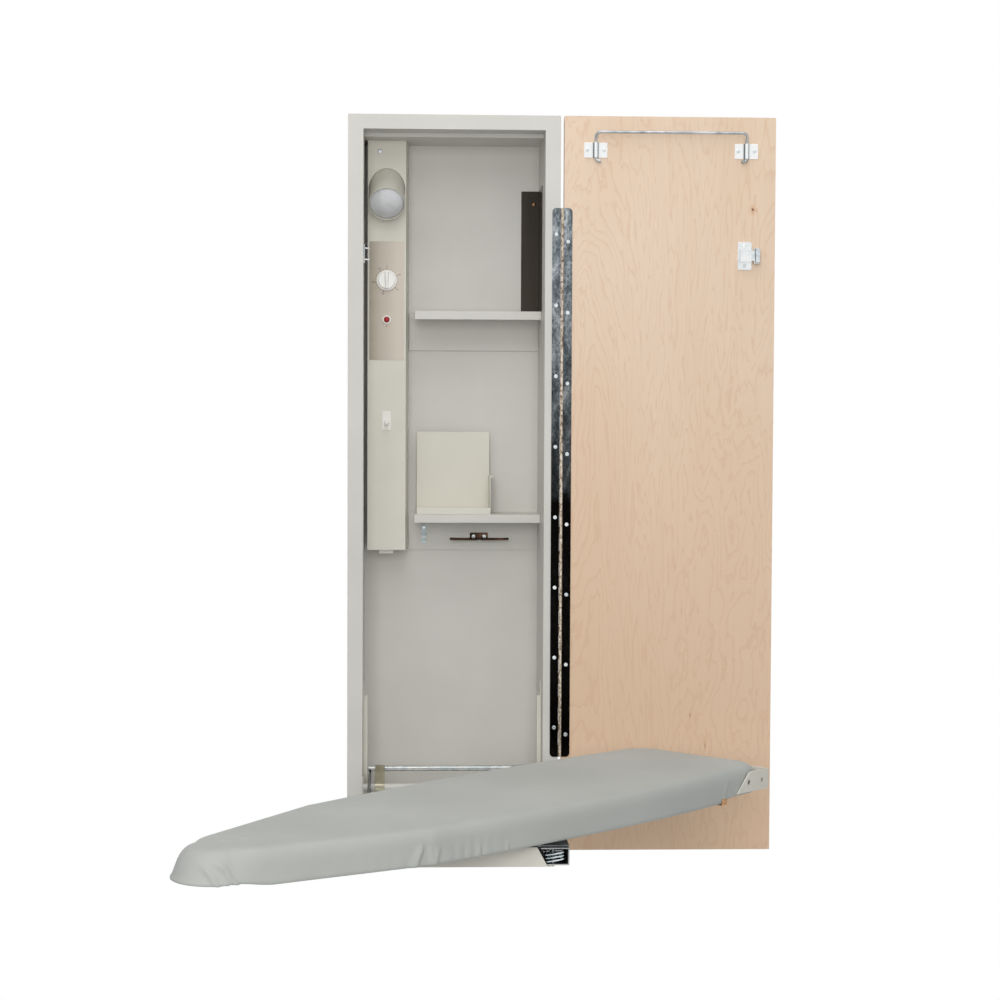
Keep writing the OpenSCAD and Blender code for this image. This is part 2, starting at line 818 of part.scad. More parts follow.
module door_panel() {
    color("#e4cbb2") placed() difference() {
        facing(0, door_t) round_rect(door_x, 0, door_x + cab_w, cab_h, 1);
        for (i = [0:hinge_count(hinge_screw_step) - 1])
            along_y(1.6, -1, 11, hinge_x + leaf_screw, hinge_screw_height(i, hinge_screw_step));
        for (x = rail_legs, s = [-1, 1])
            along_y(1.6, -1, 11, x + s * (rail_bracket_w / 2 - 6), rail_bracket_z);
        for (s = [-1, 1]) along_y(1.6, -1, 11, catch_x, catch_z + s * 17.5);
    }
}

module mirror_glass() {
    color("#c6d0d4") placed()
        box([door_x, door_t, 0], [door_x + cab_w + mirror_over, door_t + mirror_t, cab_h]);
}

// one leaf of the piano hinge; side is -1 for the cabinet and 1 for the door
module hinge_leaf(side, first, low) {
    translate([hinge_x, 0, 0]) difference() {
        union() {
            facing(-leaf_t, 0) {
                x0 = side < 0 ? -leaf_w : knuckle_r + pass;
                x1 = side < 0 ? -knuckle_r - pass : leaf_w;
                r = min(8, (x1 - x0) / 2 - 0.2);
                round_rect(x0, hinge_z, x1, hinge_top, r);
                translate([side < 0 ? x1 - r - 0.1 : x0, hinge_z]) square([r + 0.1, hinge_top - hinge_z]);
            }
            for (i = [first:2:knuckle_n - 1]) {
                z0 = hinge_z + i * knuckle_len + knuckle_gap / 2;
                z1 = hinge_z + (i + 1) * knuckle_len - knuckle_gap / 2;
                along_z(knuckle_r, z0, z1, 0, hinge_y);
                box([side < 0 ? -knuckle_r - 2 : 0, -leaf_t, z0],
                    [side < 0 ? 0 : knuckle_r + 2, 0, z1]);
            }
        }
        along_z(hinge_pin_r + (side < 0 ? 0 : run), hinge_z - 1, hinge_top + 1, 0, hinge_y);
        for (i = [0:hinge_count(low) - 1])
            along_y(1.8, -leaf_t - 1, 1, side * leaf_screw, hinge_screw_height(i, low));
    }
}

module hinge_leaf_cabinet() {
    color("#9a9a96") placed() hinge_leaf(-1, 0, 0);
}

module hinge_leaf_door() {
    color("#9a9a96") placed() hinge_leaf(1, 1, hinge_screw_step);
}

module hinge_pin() {
    color("#8d8d8a") placed() along_z(hinge_pin_r, hinge_z, hinge_top, hinge_x, hinge_y);
}

module hinge_screws(side, low) {
    for (i = [0:hinge_count(low) - 1])
        translate([hinge_x + side * leaf_screw, 0, hinge_screw_height(i, low)]) {
            along_y(1.6, -leaf_t, 9, 0, 0);
            difference() {
                along_y(screw_head_r, -leaf_t - 1, -leaf_t, 0, 0);
                for (a = [0, 90]) rotate([0, a, 0])
                    box([-2, -leaf_t - 2, -0.4], [2, -leaf_t - 0.4, 0.4]);
            }
        }
}

module hinge_screws_cabinet() {
    color(zinc) placed() hinge_screws(-1, 0);
}

module hinge_screws_door() {
    color(zinc) placed() hinge_screws(1, hinge_screw_step);
}

rail_legs = [door_x + rail_mid - rail_span / 2, door_x + rail_mid + rail_span / 2];
rail_bracket_z = rail_z - 31;
rail_bend = 9;

// a wire bail whose legs stand in two clamped brackets, with feet bent inward
module garment_rail() {
    leg_top = rail_z - rail_bend;
    leg_low = rail_bracket_z - rail_bracket_h / 2 - 5;
    leg_foot = rail_bracket_z + rail_bracket_h / 2 + rail_wire_r + 0.6;
    y = -rail_wire_r - 1.6;
    yo = -rail_off;
    color("#b6babb") placed() {
        along_x(rail_wire_r, rail_legs[0] + rail_bend, rail_legs[1] - rail_bend, yo, rail_z);
        for (s = [0, 1]) translate([rail_legs[s], 0, 0]) mirror([s, 0, 0]) {
            translate([rail_bend, yo, leg_top]) rotate([90, 0, 0]) rotate([0, 0, 90])
                rotate_extrude(angle = 90) translate([rail_bend, 0]) circle(rail_wire_r, $fn = 24);
            along_z(rail_wire_r, leg_top - 1, leg_top, 0, yo);
            translate([0, yo, leg_top - 1]) sphere(rail_wire_r + run);
            leg_link(rail_wire_r, [0, yo, leg_top - 1], [0, y, leg_foot]);
            translate([0, y, leg_foot]) sphere(rail_wire_r + run);
            along_z(rail_wire_r, leg_low, leg_foot, 0, y);
            translate([0, y, leg_low]) sphere(rail_wire_r + run);
            leg_link(rail_wire_r, [0, y, leg_low], [9, y - 3, leg_low - 1]);
        }
    }
}

// a round bar from point a to point b
module leg_link(r, a, b) {
    d = b - a;
    l = norm(d);
    translate(a) rotate([0, acos(d[2] / l), atan2(d[1], d[0])]) cylinder(r = r, h = l);
}

module rail_brackets() {
    h = rail_bracket_h;
    w = rail_bracket_w;
    yw = -rail_wire_r - 1.6;
    color("#c4c8c9") placed() for (x = rail_legs) translate([x, 0, rail_bracket_z]) difference() {
        union() {
            facing(-1.5, 0) round_rect(-w / 2, -h / 2, w / 2, h / 2, 2);
            box([-rail_wire_r - 1.4, yw - rail_wire_r - 1.4, -h / 2],
                [rail_wire_r + 1.4, 0, h / 2]);
        }
        along_z(rail_wire_r + run, -h, h, 0, yw);
        for (s = [-1, 1]) along_y(1.8, -3, 1, s * (w / 2 - 6), 0);
    }
}

// screws of the garment rail's brackets and of the catch
module door_screws() {
    color(zinc) placed() {
        for (x = rail_legs, s = [-1, 1])
            translate([x + s * (rail_bracket_w / 2 - 6), 0, rail_bracket_z]) {
                along_y(1.6, -1.5, 10, 0, 0);
                along_y(3.4, -3, -1.5, 0, 0);
            }
        for (s = [-1, 1]) {
            along_y(1.6, -2, 10, catch_x, catch_z + s * 17.5);
            along_y(3.4, -3.5, -2, catch_x, catch_z + s * 17.5);
        }
    }
}

catch_x = door_x + catch_in;
catch_end = catch_x + 11;
roller_x = catch_end + catch_travel + roller_r + 2.5;

// cast body of the roller catch, open towards the roller
module catch_body() {
    color("#c4c8c9") placed() difference() {
        union() {
            facing(-2, 0) round_rect(catch_x - 12.5, catch_z - 25, catch_x + 12.5, catch_z + 25, 3);
            box([catch_x - 9, -13, catch_z - 11], [catch_end, -2, catch_z + 11]);
        }
        box([catch_x - 7, -11.4, catch_z - 9], [catch_end + 1, -3.2, catch_z + 9]);
        for (s = [-1, 1]) along_y(1.8, -3, 1, catch_x, catch_z + s * 17.5);
    }
}

// sprung slide with a fork and the roller's pin
module catch_slide() {
    half = roller_len / 2 + pass;
    x0 = catch_end + catch_travel + 0.5;
    color("#b2b6b7") placed() {
        box([catch_x - 7 + catch_travel + 0.3, -11.4 + run, catch_z - 9 + run],
            [x0 + 1, -3.2 - run, catch_z + 9 - run]);
        box([x0, -11.4 + run, catch_z - half - 1.5], [x0 + 1.6, -3.2 - run, catch_z + half + 1.5]);
        for (z = [catch_z - half - 1.5, catch_z + half])
            box([x0, -10, z], [roller_x + 2.5, -4.6, z + 1.5]);
        along_z(1.5, catch_z - half - 1.5, catch_z + half + 1.5, roller_x, -7.3);
    }
}

module catch_roller() {
    color("#a9adae") placed() difference() {
        along_z(roller_r, catch_z - roller_len / 2, catch_z + roller_len / 2, roller_x, -7.3);
        along_z(1.5 + run, catch_z - roller_len, catch_z + roller_len, roller_x, -7.3);
    }
}

// ---- arm ----

// channel rail, open towards the middle
module arm_rail() {
    x1 = rail_hw;
    x0 = rail_hw - rail_w;
    y1 = -rail_start;
    difference() {
        box([x0, -arm_reach, rail_under], [x1, y1, rail_under + rail_h]);
        box([x0 - 1, -arm_reach - 1, rail_under + rail_t],
            [x1 - rail_t, y1 + 1, rail_under + rail_h - rail_t]);
    }
}

module arm_rails() {
    color("#26272a") placed() both_sides() arm_rail();
}

// plates inside the rails that turn on the pivot shaft and end under the cross rod
module pivot_ear() {
    z0 = rail_under + rail_t;
    z1 = rail_under + rail_h - rail_t;
    tail_top = rod_z - rod_r - run;
    translate([ear_x, 0, 0]) rotate([90, 0, 90]) linear_extrude(ear_t) difference() {
        union() {
            translate([-rail_start - 90, z0]) square([rail_start + 78, z1 - z0]);
            translate([-14, fold_z - 13]) square([14 + fold_y + 2, tail_top - fold_z + 13]);
            translate([fold_y, fold_z - 13]) square([rod_y + 6 - fold_y, tail_top - fold_z + 13]);
        }
        translate([fold_y, fold_z]) circle(pivot_r + run);
    }
}

module pivot_ears() {
    color("#3a3b3e") placed() both_sides() pivot_ear();
}

// folded pan under the rails' front end, with slanted ends
module cross_plate() {
    t = 1.8;
    y0 = -arm_reach - t - 0.2;
    z0 = rail_under - t;
    color(cream) placed() {
        facing(y0, y0 + t) polygon([[32.5 - rail_hw, z0], [rail_hw - 32.5, z0],
            [rail_hw - 48.5, z0 + 30], [48.5 - rail_hw, z0 + 30]]);
        box([22.5 - rail_hw, y0, z0], [rail_hw - 22.5, 208 - arm_reach, rail_under]);
    }
}

// plate across the rails that carries the swivel
module deck_plate() {
    color("#55565a") placed() difference() {
        union() {
            box([-rail_hw, -arm_reach + 8, deck_z], [rail_hw, -swivel_y + 108, deck_z + 3]);
            translate([0, -swivel_y, deck_z]) cylinder(r = swivel_r - 20, h = 8);
        }
        along_z(bolt_r + run, deck_z - 1, deck_z + 9, 0, -swivel_y);
    }
}

// spring wire: one tube of six sides, wound along the rail
function coil_at(a, y0) = [spring_mid * cos(a), y0 + spring_pitch * a / 360, spring_mid * sin(a)];
spring_mid = spring_r - spring_wire;
spring_rings = spring_curls * 8;
spring_y0 = -arm_reach + 10;
spring_x = rail_hw - 24.5;
spring_zc = rail_under + rail_h / 2;

function ring_at(i) = let (a = i * 45, c = coil_at(a, 0))
    [for (k = [0:5]) let (b = k * 60)
        [c[0] + spring_wire * cos(b) * cos(a), c[1] + spring_wire * sin(b),
            c[2] + spring_wire * cos(b) * sin(a)]];

module coil_spring() {
    n = spring_rings;
    pts = [for (i = [0:n]) each ring_at(i)];
    sides = [for (i = [0:n - 1], k = [0:5]) each [
        [i * 6 + k, (i + 1) * 6 + k, i * 6 + (k + 1) % 6],
        [i * 6 + (k + 1) % 6, (i + 1) * 6 + k, (i + 1) * 6 + (k + 1) % 6]]];
    ends = [for (k = [1:4]) each [[0, k, k + 1], [n * 6, n * 6 + k + 1, n * 6 + k]]];
    polyhedron(points = pts, faces = concat(sides, ends));
}

function wire_gap() = min([for (i = [8:min(24, spring_rings)], j = [0:i - 6])
    norm(coil_at(i * 45, 0) - coil_at(j * 45, 0))]) - 2 * spring_wire;

module counter_springs() {
    echo(spring_least_gap = wire_gap());
    color(zinc) placed() for (s = [-1, 1])
        translate([s * spring_x, spring_y0, spring_zc]) coil_spring();
}

// pins across the rails with the studs that hold the springs, and the draw rods behind them
module spring_hooks() {
    y1 = spring_y0 + spring_pitch * spring_curls;
    z0 = rail_under + rail_t;
    z1 = rail_under + rail_h - rail_t;
    stud = spring_mid * cos(22.5) - spring_wire - pass;
    color("#8b9092") placed() both_sides() {
        along_z(2.5, z0, z1, spring_x, spring_y0 - 4);
        along_y(stud, spring_y0 - 1, spring_y0 + 14, spring_x, spring_zc);
        along_y(2.5, spring_y0 - 4, spring_y0, spring_x, spring_zc);
        along_y(stud, y1 - 14, y1 + 2, spring_x, spring_zc);
        along_y(3, y1 + 2, -rail_start - 24, spring_x, spring_zc);
        box([spring_x - 4, -rail_start - 24, z0], [ear_x, -rail_start - 20, z1]);
    }
}

// ---- swivel and board ----

module on_board() {
    translate([0, -swivel_y, 0]) rotate([0, 0, -swing]) children();
}

// half width of the board at a distance s from the heel
nose_len = 45;
function taper(s) = taper_hw + (nose_hw - taper_hw) * (s - taper_s) / (board_len - nose_len - taper_s);
function half_w(s) =
    s < heel_r ? heel_hw - heel_r + sqrt(max(0, heel_r * heel_r - (heel_r - s) * (heel_r - s))) :
    s < belly_s ? heel_hw + (belly_hw - heel_hw) * sin(90 * (s - heel_r) / (belly_s - heel_r)) :
    s < taper_s ? belly_hw - (belly_hw - taper_hw) * (1 - cos(90 * (s - belly_s) / (taper_s - belly_s))) :
    s < board_len - nose_len ? taper(s) :
    nose_hw * sqrt(max(0, 1 - pow((s - board_len + nose_len) / nose_len, 2)));
stations = concat([0], [for (i = [1:4]) heel_r * (1 - cos(i * 22.5))],
    [for (i = [1:5]) heel_r + (belly_s - heel_r) * i / 5],
    [for (i = [1:5]) belly_s + (taper_s - belly_s) * i / 5],
    [for (i = [1:4]) taper_s + (board_len - nose_len - taper_s) * i / 4],
    [for (i = [1:4]) board_len - nose_len + nose_len * sin(i * 22)]);
half_line = [for (s = stations) [half_w(s), swivel_s - s]];
outline = concat(half_line, [for (i = [len(half_line) - 1:-1:0]) [-half_line[i][0], half_line[i][1]]]);

// from 0 to 1 in a soft curve
function soft(v) = let (t = min(1, max(0, v))) t * t * (3 - 2 * t);
// how far the nose leans back at a height above the hem, and how much the hem rises at the ends
function lean_at(p, h) =
    nose_lean * soft((swivel_s - p[1] - board_len + 95) / 75) * max(0, h - 8) / (skirt_h - 8);
function rise_at(p) = hem_rise * max(soft((118 - swivel_s + p[1]) / 12),
    soft((swivel_s - p[1] - board_len + 110) / 60));

// the outline drawn in towards the board's spine by d
spine_y0 = swivel_s - 150;
spine_y1 = swivel_s - board_len + 80;
function drawn_in(p, d) = let (c = [0, min(spine_y0, max(spine_y1, p[1]))], v = p - c)
    c + v * (1 - d / norm(v));
function board_line(d, h = 0) = [for (p = outline) drawn_in(p, d + lean_at(p, h))];

module swivel_bolt() {
    color(zinc) placed() translate([0, -swivel_y, 0]) {
        translate([0, 0, deck_z - 9]) cylinder(r = bolt_r, h = z_pan - pan_t - deck_z + 9);
        translate([0, 0, deck_z - 9]) cylinder(r = bolt_r + 5, h = 9 - 0.3, $fn = 6);
    }
}

// turntable plate and spacer between the deck and the pan
module swivel_top() {
    z0 = deck_z + 8 + run;
    color("#6d6f73") placed() translate([0, -swivel_y, 0]) difference() {
        union() {
            translate([0, 0, z0]) cylinder(r = swivel_r, h = 3);
            translate([0, 0, z0]) cylinder(r = 46, h = z_pan - pan_t - z0);
        }
        translate([0, 0, z0 - 1]) cylinder(r = bolt_r, h = 60);
    }
}

// pressed steel pan, open underneath; it leans as far as the pad on it
module board_pan() {
    h = z_pan + pad_t - z_hem;
    color("#8f9295") placed() on_board() difference() {
        translate([0, 0, z_pan - pan_h]) linear_extrude(pan_h)
            polygon(board_line(cover_t + pass, h));
        translate([0, 0, z_pan - pan_h - 1]) linear_extrude(pan_h + 1 - pan_t)
            polygon(board_line(cover_t + pass + pan_t, h));
    }
}

module board_pad() {
    color("#d9d5c8") placed() on_board() translate([0, 0, z_pan]) linear_extrude(pad_t)
        polygon(board_line(cover_t + pass + 0.6, z_pan + pad_t - z_hem));
}

// the fitted cover: a crowned top, a skirt with gathers and a hem drawn in under the pan
gather = 0.9;
function near_end(i) =
    abs(outline[i][1] - swivel_s) < 90 || outline[i][1] < swivel_s - board_len + 110;
function wave(i) = gather * abs(sin(i * 97)) * (near_end(i) ? 1.6 : 1);
// each ring: how far it is drawn in, its height above the hem, its share of the gathers
shell = [
    [44, skirt_h - 0.8, 0], [8, skirt_h - 2.6, 0], [2.2, skirt_h - 4.5, 0],
    [0, skirt_h - 9, 0], [0, 34, 0.3], [0, 14, 0.8], [0.6, 3, 1], [5, 0.4, 1], [14, 0, 0],
    [14, 1.8, 0], [cover_t + 1, 2.2, 0], [cover_t, 2.6, 0], [cover_t, 30, 0],
    [cover_t, skirt_h - cover_t - crown, 0]];

function shell_ring(r) = [for (i = [0:len(outline) - 1])
    let (o = outline[i], p = drawn_in(o, r[0] + r[2] * wave(i) + lean_at(o, r[1])),
        h = r[1] < 14 ? r[1] + rise_at(o) * (1 - r[1] / 14) : r[1]) [p[0], p[1], z_hem + h]];

// the ring next to the spine, at the crown
function crown_ring() = [for (p = outline)
    let (c = [0, min(spine_y0, max(spine_y1, p[1]))], v = p - c, q = c + v * 6 / norm(v))
    [q[0], q[1], board_z]];

module board_cover() {
    m = len(outline);
    rings = concat([crown_ring()], [for (r = shell) shell_ring(r)]);
    n = len(rings);
    sides = [for (j = [0:n - 2], i = [0:m - 1]) let (k = (i + 1) % m) each [
        [j * m + i, (j + 1) * m + i, j * m + k],
        [j * m + k, (j + 1) * m + i, (j + 1) * m + k]]];
    e = (n - 1) * m;
    caps = [for (i = [0:m / 2 - 2]) each [
        [i, i + 1, m - 2 - i], [i, m - 2 - i, m - 1 - i],
        [e + i, e + m - 2 - i, e + i + 1], [e + i, e + m - 1 - i, e + m - 2 - i]]];
    tris = [for (f = concat(sides, caps)) if (f[0] != f[1] && f[1] != f[2] && f[0] != f[2]) f];
    color("#b9bcb7") placed() on_board() polyhedron(points = [for (r = rings) each r], faces = tris);
}

// angle plate round the heel's corner, with a slanted end and two holes
module heel_bracket() {
    x0 = half_w(84) + pass;
    t = 2;
    color("#d5d3cb") placed() on_board() difference() {
        union() {
            translate([x0, swivel_s, z_hem]) rotate([90, 0, 90]) linear_extrude(t)
                polygon([[-84, 11], [pass + t, 11], [pass + t, 43], [-51, 43]]);
            box([heel_hw - 90, swivel_s + pass, z_hem + 11],
                [x0 + t, swivel_s + pass + t, z_hem + 43]);
        }
        for (s = [16, 53]) along_x(4.1, x0 - 1, x0 + t + 1, swivel_s - s, z_hem + 27);
    }
}

// small spring clip on the skirt's lower edge
module cover_clip() {
    y = swivel_s - 125;
    x0 = half_w(125) + pass;
    color(zinc) placed() on_board() {
        box([x0, y - 7, z_hem - 1.6], [x0 + 1, y + 7, z_hem + 9]);
        box([x0 - 12, y - 7, z_hem - 1.6], [x0 + 1, y + 7, z_hem - pass]);
    }
}

surround();
cabinet_body();
side_brackets();
cross_rod();
pivot_shaft();
tie_straps();
upper_shelf();
upper_back_rail();
lower_shelf();
lower_back_rail();
heat_shield();
shield_rivet();
pocket();
cord_hook();
cord_clip();
fitting_screws();
channel_cover();
channel_back();
lamp_housing();
lamp_socket();
reflector_bulb();
dial_plate();
timer_body();
timer_shaft();
timer_knob();
pilot_bezel();
pilot_lens();
switch_plate();
switch_body();
switch_plunger();
outlet();
inner_wiring();
catch_strike();
strike_screws();
door_panel();
mirror_glass();
hinge_leaf_cabinet();
hinge_leaf_door();
hinge_pin();
hinge_screws_cabinet();
hinge_screws_door();
garment_rail();
rail_brackets();
door_screws();
catch_body();
catch_slide();
catch_roller();
arm_rails();
pivot_ears();
cross_plate();
deck_plate();
counter_springs();
spring_hooks();
swivel_bolt();
swivel_top();
board_pan();
board_pad();
board_cover();
heel_bracket();
cover_clip();
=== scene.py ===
# %% [markdown]
# # An ironing board cabinet with a mirrored door
#
# The cabinet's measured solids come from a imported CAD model. This notebook dresses them in
# Blender: sheet metal gets eased edges and paint, the padded board gets its cloth, and small
# things such as screws, springs and the dial get the detail that a solid leaves out. Each cell
# makes one piece or one finish, and says why it was made that way.

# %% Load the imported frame
import bpy
import bmesh
import json
import math
from mathutils import Matrix, Vector

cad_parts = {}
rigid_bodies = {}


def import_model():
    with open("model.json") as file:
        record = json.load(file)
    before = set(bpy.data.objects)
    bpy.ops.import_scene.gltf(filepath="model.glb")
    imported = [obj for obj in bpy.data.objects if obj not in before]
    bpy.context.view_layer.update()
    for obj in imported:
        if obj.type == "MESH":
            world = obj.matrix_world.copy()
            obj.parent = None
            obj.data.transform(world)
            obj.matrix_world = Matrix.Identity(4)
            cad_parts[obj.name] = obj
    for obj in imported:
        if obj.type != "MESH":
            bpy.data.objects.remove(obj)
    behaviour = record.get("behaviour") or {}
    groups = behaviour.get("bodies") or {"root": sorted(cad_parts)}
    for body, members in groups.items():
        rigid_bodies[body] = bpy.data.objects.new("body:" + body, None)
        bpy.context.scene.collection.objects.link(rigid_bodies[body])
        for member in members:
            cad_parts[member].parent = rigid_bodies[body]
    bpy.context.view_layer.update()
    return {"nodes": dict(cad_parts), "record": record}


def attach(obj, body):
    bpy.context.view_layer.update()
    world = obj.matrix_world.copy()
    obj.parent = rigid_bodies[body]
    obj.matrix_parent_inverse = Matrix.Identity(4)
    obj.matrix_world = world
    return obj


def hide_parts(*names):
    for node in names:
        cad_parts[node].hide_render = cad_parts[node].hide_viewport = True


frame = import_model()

# %% [markdown]

# %% [markdown]
# ## Places in millimetres
#
# The cabinet is drawn in millimetres: x to the right, y from the front plane towards the wall
# and z up from the bottom edge. Blender works in metres from the middle of the back face, so
# one small function turns the first into the second, and no other cell has to think of it.
# A few places are named here, because both a finish and a piece need them.

# %% Millimetres to metres, and the selection habit
MM = 0.001
cab_h, cab_d = 1325, 200
hinge_x = 193.6
legs = (252.7, 524.2)
channel_mid = -121.75
rail_end_y, rail_side_x = -687, 159.7


def at(x, y, z):
    return Vector((x, y - cab_d, z - cab_h / 2)) * MM


def none():
    for other in bpy.context.selected_objects:
        other.select_set(False)


def only(piece):
    none()
    piece.select_set(True)
    bpy.context.view_layer.objects.active = piece


none()
print("the front plane's lower middle is at", [round(v, 4) for v in at(0, 0, 0)])

# %% [markdown]
# ## Camera
#
# The picture was taken from just left of the cabinet with a long lens, a little above its
# middle and tipped slightly down. The axes are worked out from those three angles, and the
# camera's matrix is written from them, so nothing has to be aimed by hand.

# %% Camera at the picture's angle
yaw, pitch, roll = (math.radians(a) for a in (2.48955391, 2.46878264, 0.25209039))
ahead = Vector((math.sin(yaw), math.cos(yaw), 0))
right = Vector((math.cos(yaw), -math.sin(yaw), 0))
up = Vector((0, 0, 1))
tipped = ahead * math.cos(pitch) - up * math.sin(pitch)
risen = up * math.cos(pitch) + ahead * math.sin(pitch)
cam_right = right * math.cos(roll) + risen * math.sin(roll)
cam_up = risen * math.cos(roll) - right * math.sin(roll)

camera_data = bpy.data.cameras.new("camera")
camera_data.lens = 79.2
camera_data.sensor_width = 36
camera_data.clip_end = 60
camera = bpy.data.objects.new("camera", camera_data)
bpy.context.scene.collection.objects.link(camera)
turn = Matrix((cam_right, cam_up, -tipped)).transposed().to_4x4()
lens_place = at(-88.283, -3956.132, 806.776)
camera.matrix_world = Matrix.Translation(lens_place) @ turn
bpy.context.scene.camera = camera
bpy.context.scene.view_settings.view_transform = "Standard"
print("camera at", [round(v, 3) for v in camera.location], "with a", camera_data.lens, "mm lens")

# %% [markdown]
# ## Light
#
# Painted steel shows its edges best in soft light. Two frontal softboxes reach into the
# cabinet, and glossy metal does not mirror them. A weak key stands at the upper left, and one
# overhead brightens the board's top and throws the shadow under it.

# %% Softboxes
def softbox(name, place, target, size, watts):
    data = bpy.data.lights.new(name, "AREA")
    data.shape = "RECTANGLE"
    data.size, data.size_y = size
    data.energy = watts
    lamp = bpy.data.objects.new(name, data)
    bpy.context.scene.collection.objects.link(lamp)
    lamp.location = place
    lamp.rotation_euler = (target - place).to_track_quat("-Z", "Y").to_euler()
    return lamp


middle = at(60, 0, 640)
softbox("key", Vector((-1.7, -2.6, 2.0)), middle, (1.5, 1.5), 7)
front_high = softbox("front_high", Vector((-0.15, -3.4, 2.0)), middle, (1.2, 1.2), 20)
front = softbox("front", Vector((-0.15, -4.2, 0.5)), middle, (1.4, 1.4), 54)
front_high.visible_glossy = front.visible_glossy = False
softbox("overhead", Vector((0.0, -1.2, 2.2)), at(0, -350, 250), (2.2, 1.4), 17)
print(len(bpy.data.lights), "softboxes,", sum(data.energy for data in bpy.data.lights), "W in all")

# %% [markdown]
# ## World
#
# A world is a tree of nodes, as a material is, so the helpers that add and join nodes come
# first. The world gives an even bluish grey to fill the shadows. It is white only where the
# camera, or a shiny or clear surface, looks straight at it, so a white background needs no
# more light on the cabinet.

# %% Node helpers and the world
def put(tree, kind, **settings):
    """Adds a node; each setting goes to the socket of that name, or else to the node itself."""
    made = tree.nodes.new("ShaderNode" + kind)
    for key, value in settings.items():
        socket = made.inputs.get(key.replace("_", " "))
        if socket is not None:
            socket.default_value = value
        else:
            setattr(made, key, value)
    return made


def maths(tree, how, first, second=0.0):
    """One step of arithmetic on numbers or sockets."""
    made = put(tree, "Math", operation=how)
    for socket, value in zip(made.inputs, (first, second)):
        if isinstance(value, (int, float)):
            socket.default_value = value
        else:
            tree.links.new(value, socket)
    return made.outputs[0]


def looked_at(tree):
    """1 for a ray from the camera, or from a shiny or clear surface, and 0 for light."""
    ray = put(tree, "LightPath").outputs
    shiny = maths(tree, "MAXIMUM", ray["Is Glossy Ray"], ray["Is Transmission Ray"])
    return maths(tree, "MAXIMUM", ray["Is Camera Ray"], shiny)


def choose_between(tree, factor, first, second, out):
    """Sends the first shader to the output where the factor is 0, and the second where it is 1."""
    choice = put(tree, "MixShader")
    for socket, value in zip(choice.inputs, (factor, first.outputs[0], second.outputs[0])):
        tree.links.new(value, socket)
    tree.links.new(choice.outputs[0], out.inputs[0])


world = bpy.data.worlds.new("studio")
bpy.context.scene.world = world
world.use_nodes = True
tree = world.node_tree
tree.nodes.clear()
lighting = put(tree, "Background", Color=(0.95, 0.97, 1, 1), Strength=0.38)
seen = put(tree, "Background", Color=(1, 1, 1, 1))
choose_between(tree, looked_at(tree), lighting, seen, put(tree, "OutputWorld"))
print("a grey world that looks white, from", len(tree.nodes), "nodes")

# %% [markdown]
# ## Floor
#
# The cabinet hangs in a wall, so the floor lies well below it. It is a plain white sheet that
# catches the soft shadow, and it fades to the same white as the world further out, so that no
# horizon line shows behind the cabinet.

# %% Floor
bpy.ops.mesh.primitive_grid_add(x_subdivisions=8, y_subdivisions=8, size=12, location=(0, 0, -1.12))
floor = bpy.context.active_object
floor.name = "floor"
bpy.ops.object.transform_apply(location=True, rotation=True, scale=True)
paper = bpy.data.materials.new("floor_paper")
paper.use_nodes = True
tree = paper.node_tree
tree.nodes.clear()
matte = put(tree, "BsdfDiffuse", Color=(0.62, 0.62, 0.62, 1))
white = put(tree, "Emission", Color=(1, 1, 1, 1))
distance = put(tree, "VectorMath", operation="LENGTH")
tree.links.new(put(tree, "TexCoord").outputs["Object"], distance.inputs[0])
fade = put(tree, "MapRange", From_Min=1.0, From_Max=1.13)
tree.links.new(distance.outputs["Value"], fade.inputs["Value"])
far_off = maths(tree, "MULTIPLY", fade.outputs[0], looked_at(tree))
choose_between(tree, far_off, matte, white, put(tree, "OutputMaterial"))
floor.data.materials.append(paper)
print("floor", round(floor.data.vertices[0].co.z, 2), "m below the middle")

# %% [markdown]
# ## Colours and measures as nodes
#
# A finish that changes from place to place needs a measure of the place and a way to turn a
# number into a colour. Object coordinates are the measure, because they stay with the piece
# when it moves, and a colour ramp or a mix does the turning.

# %% Helpers for colours and coordinates
def tone(code):
    """A colour code of six hex digits as the linear colour that a node wants."""
    parts = [int(code[i:i + 2], 16) / 255 for i in (0, 2, 4)]
    return [p / 12.92 if p <= 0.04045 else ((p + 0.055) / 1.055) ** 2.4 for p in parts] + [1]


def ramp(tree, source, *stops):
    """A colour ramp; a stop is a place from 0 to 1 with a colour code or a grey."""
    made = put(tree, "ValToRGB")
    bar = made.color_ramp.elements
    while len(bar) < len(stops):
        bar.new(0.5)
    for element, (where, colour) in zip(bar, stops):
        element.position = where
        element.color = tone(colour) if isinstance(colour, str) else [colour] * 3 + [1]
    tree.links.new(source, made.inputs["Fac"])
    return made.outputs["Color"]


def mix(tree, factor, first, second):
    """Mixes two colours; sockets 6, 7 and 2 are a Mix node's colour ones."""
    made = put(tree, "Mix", data_type="RGBA")
    for number, value in ((0, factor), (6, first), (7, second)):
        if isinstance(value, (int, float, list)):
            made.inputs[number].default_value = value
        else:
            tree.links.new(value, made.inputs[number])
    return made.outputs[2]


def axes(tree):
    """The three Object coordinates, in metres, each as a socket to measure with."""
    split = put(tree, "SeparateXYZ")
    tree.links.new(put(tree, "TexCoord").outputs["Object"], split.inputs[0])
    return split.outputs


def between(tree, value, low, high):
    """0 below the first value and 1 past the second."""
    made = put(tree, "MapRange", From_Min=low, From_Max=high)
    tree.links.new(value, made.inputs["Value"])
    return made.outputs[0]


print("tone 808080 is", [round(v, 3) for v in tone("808080")])

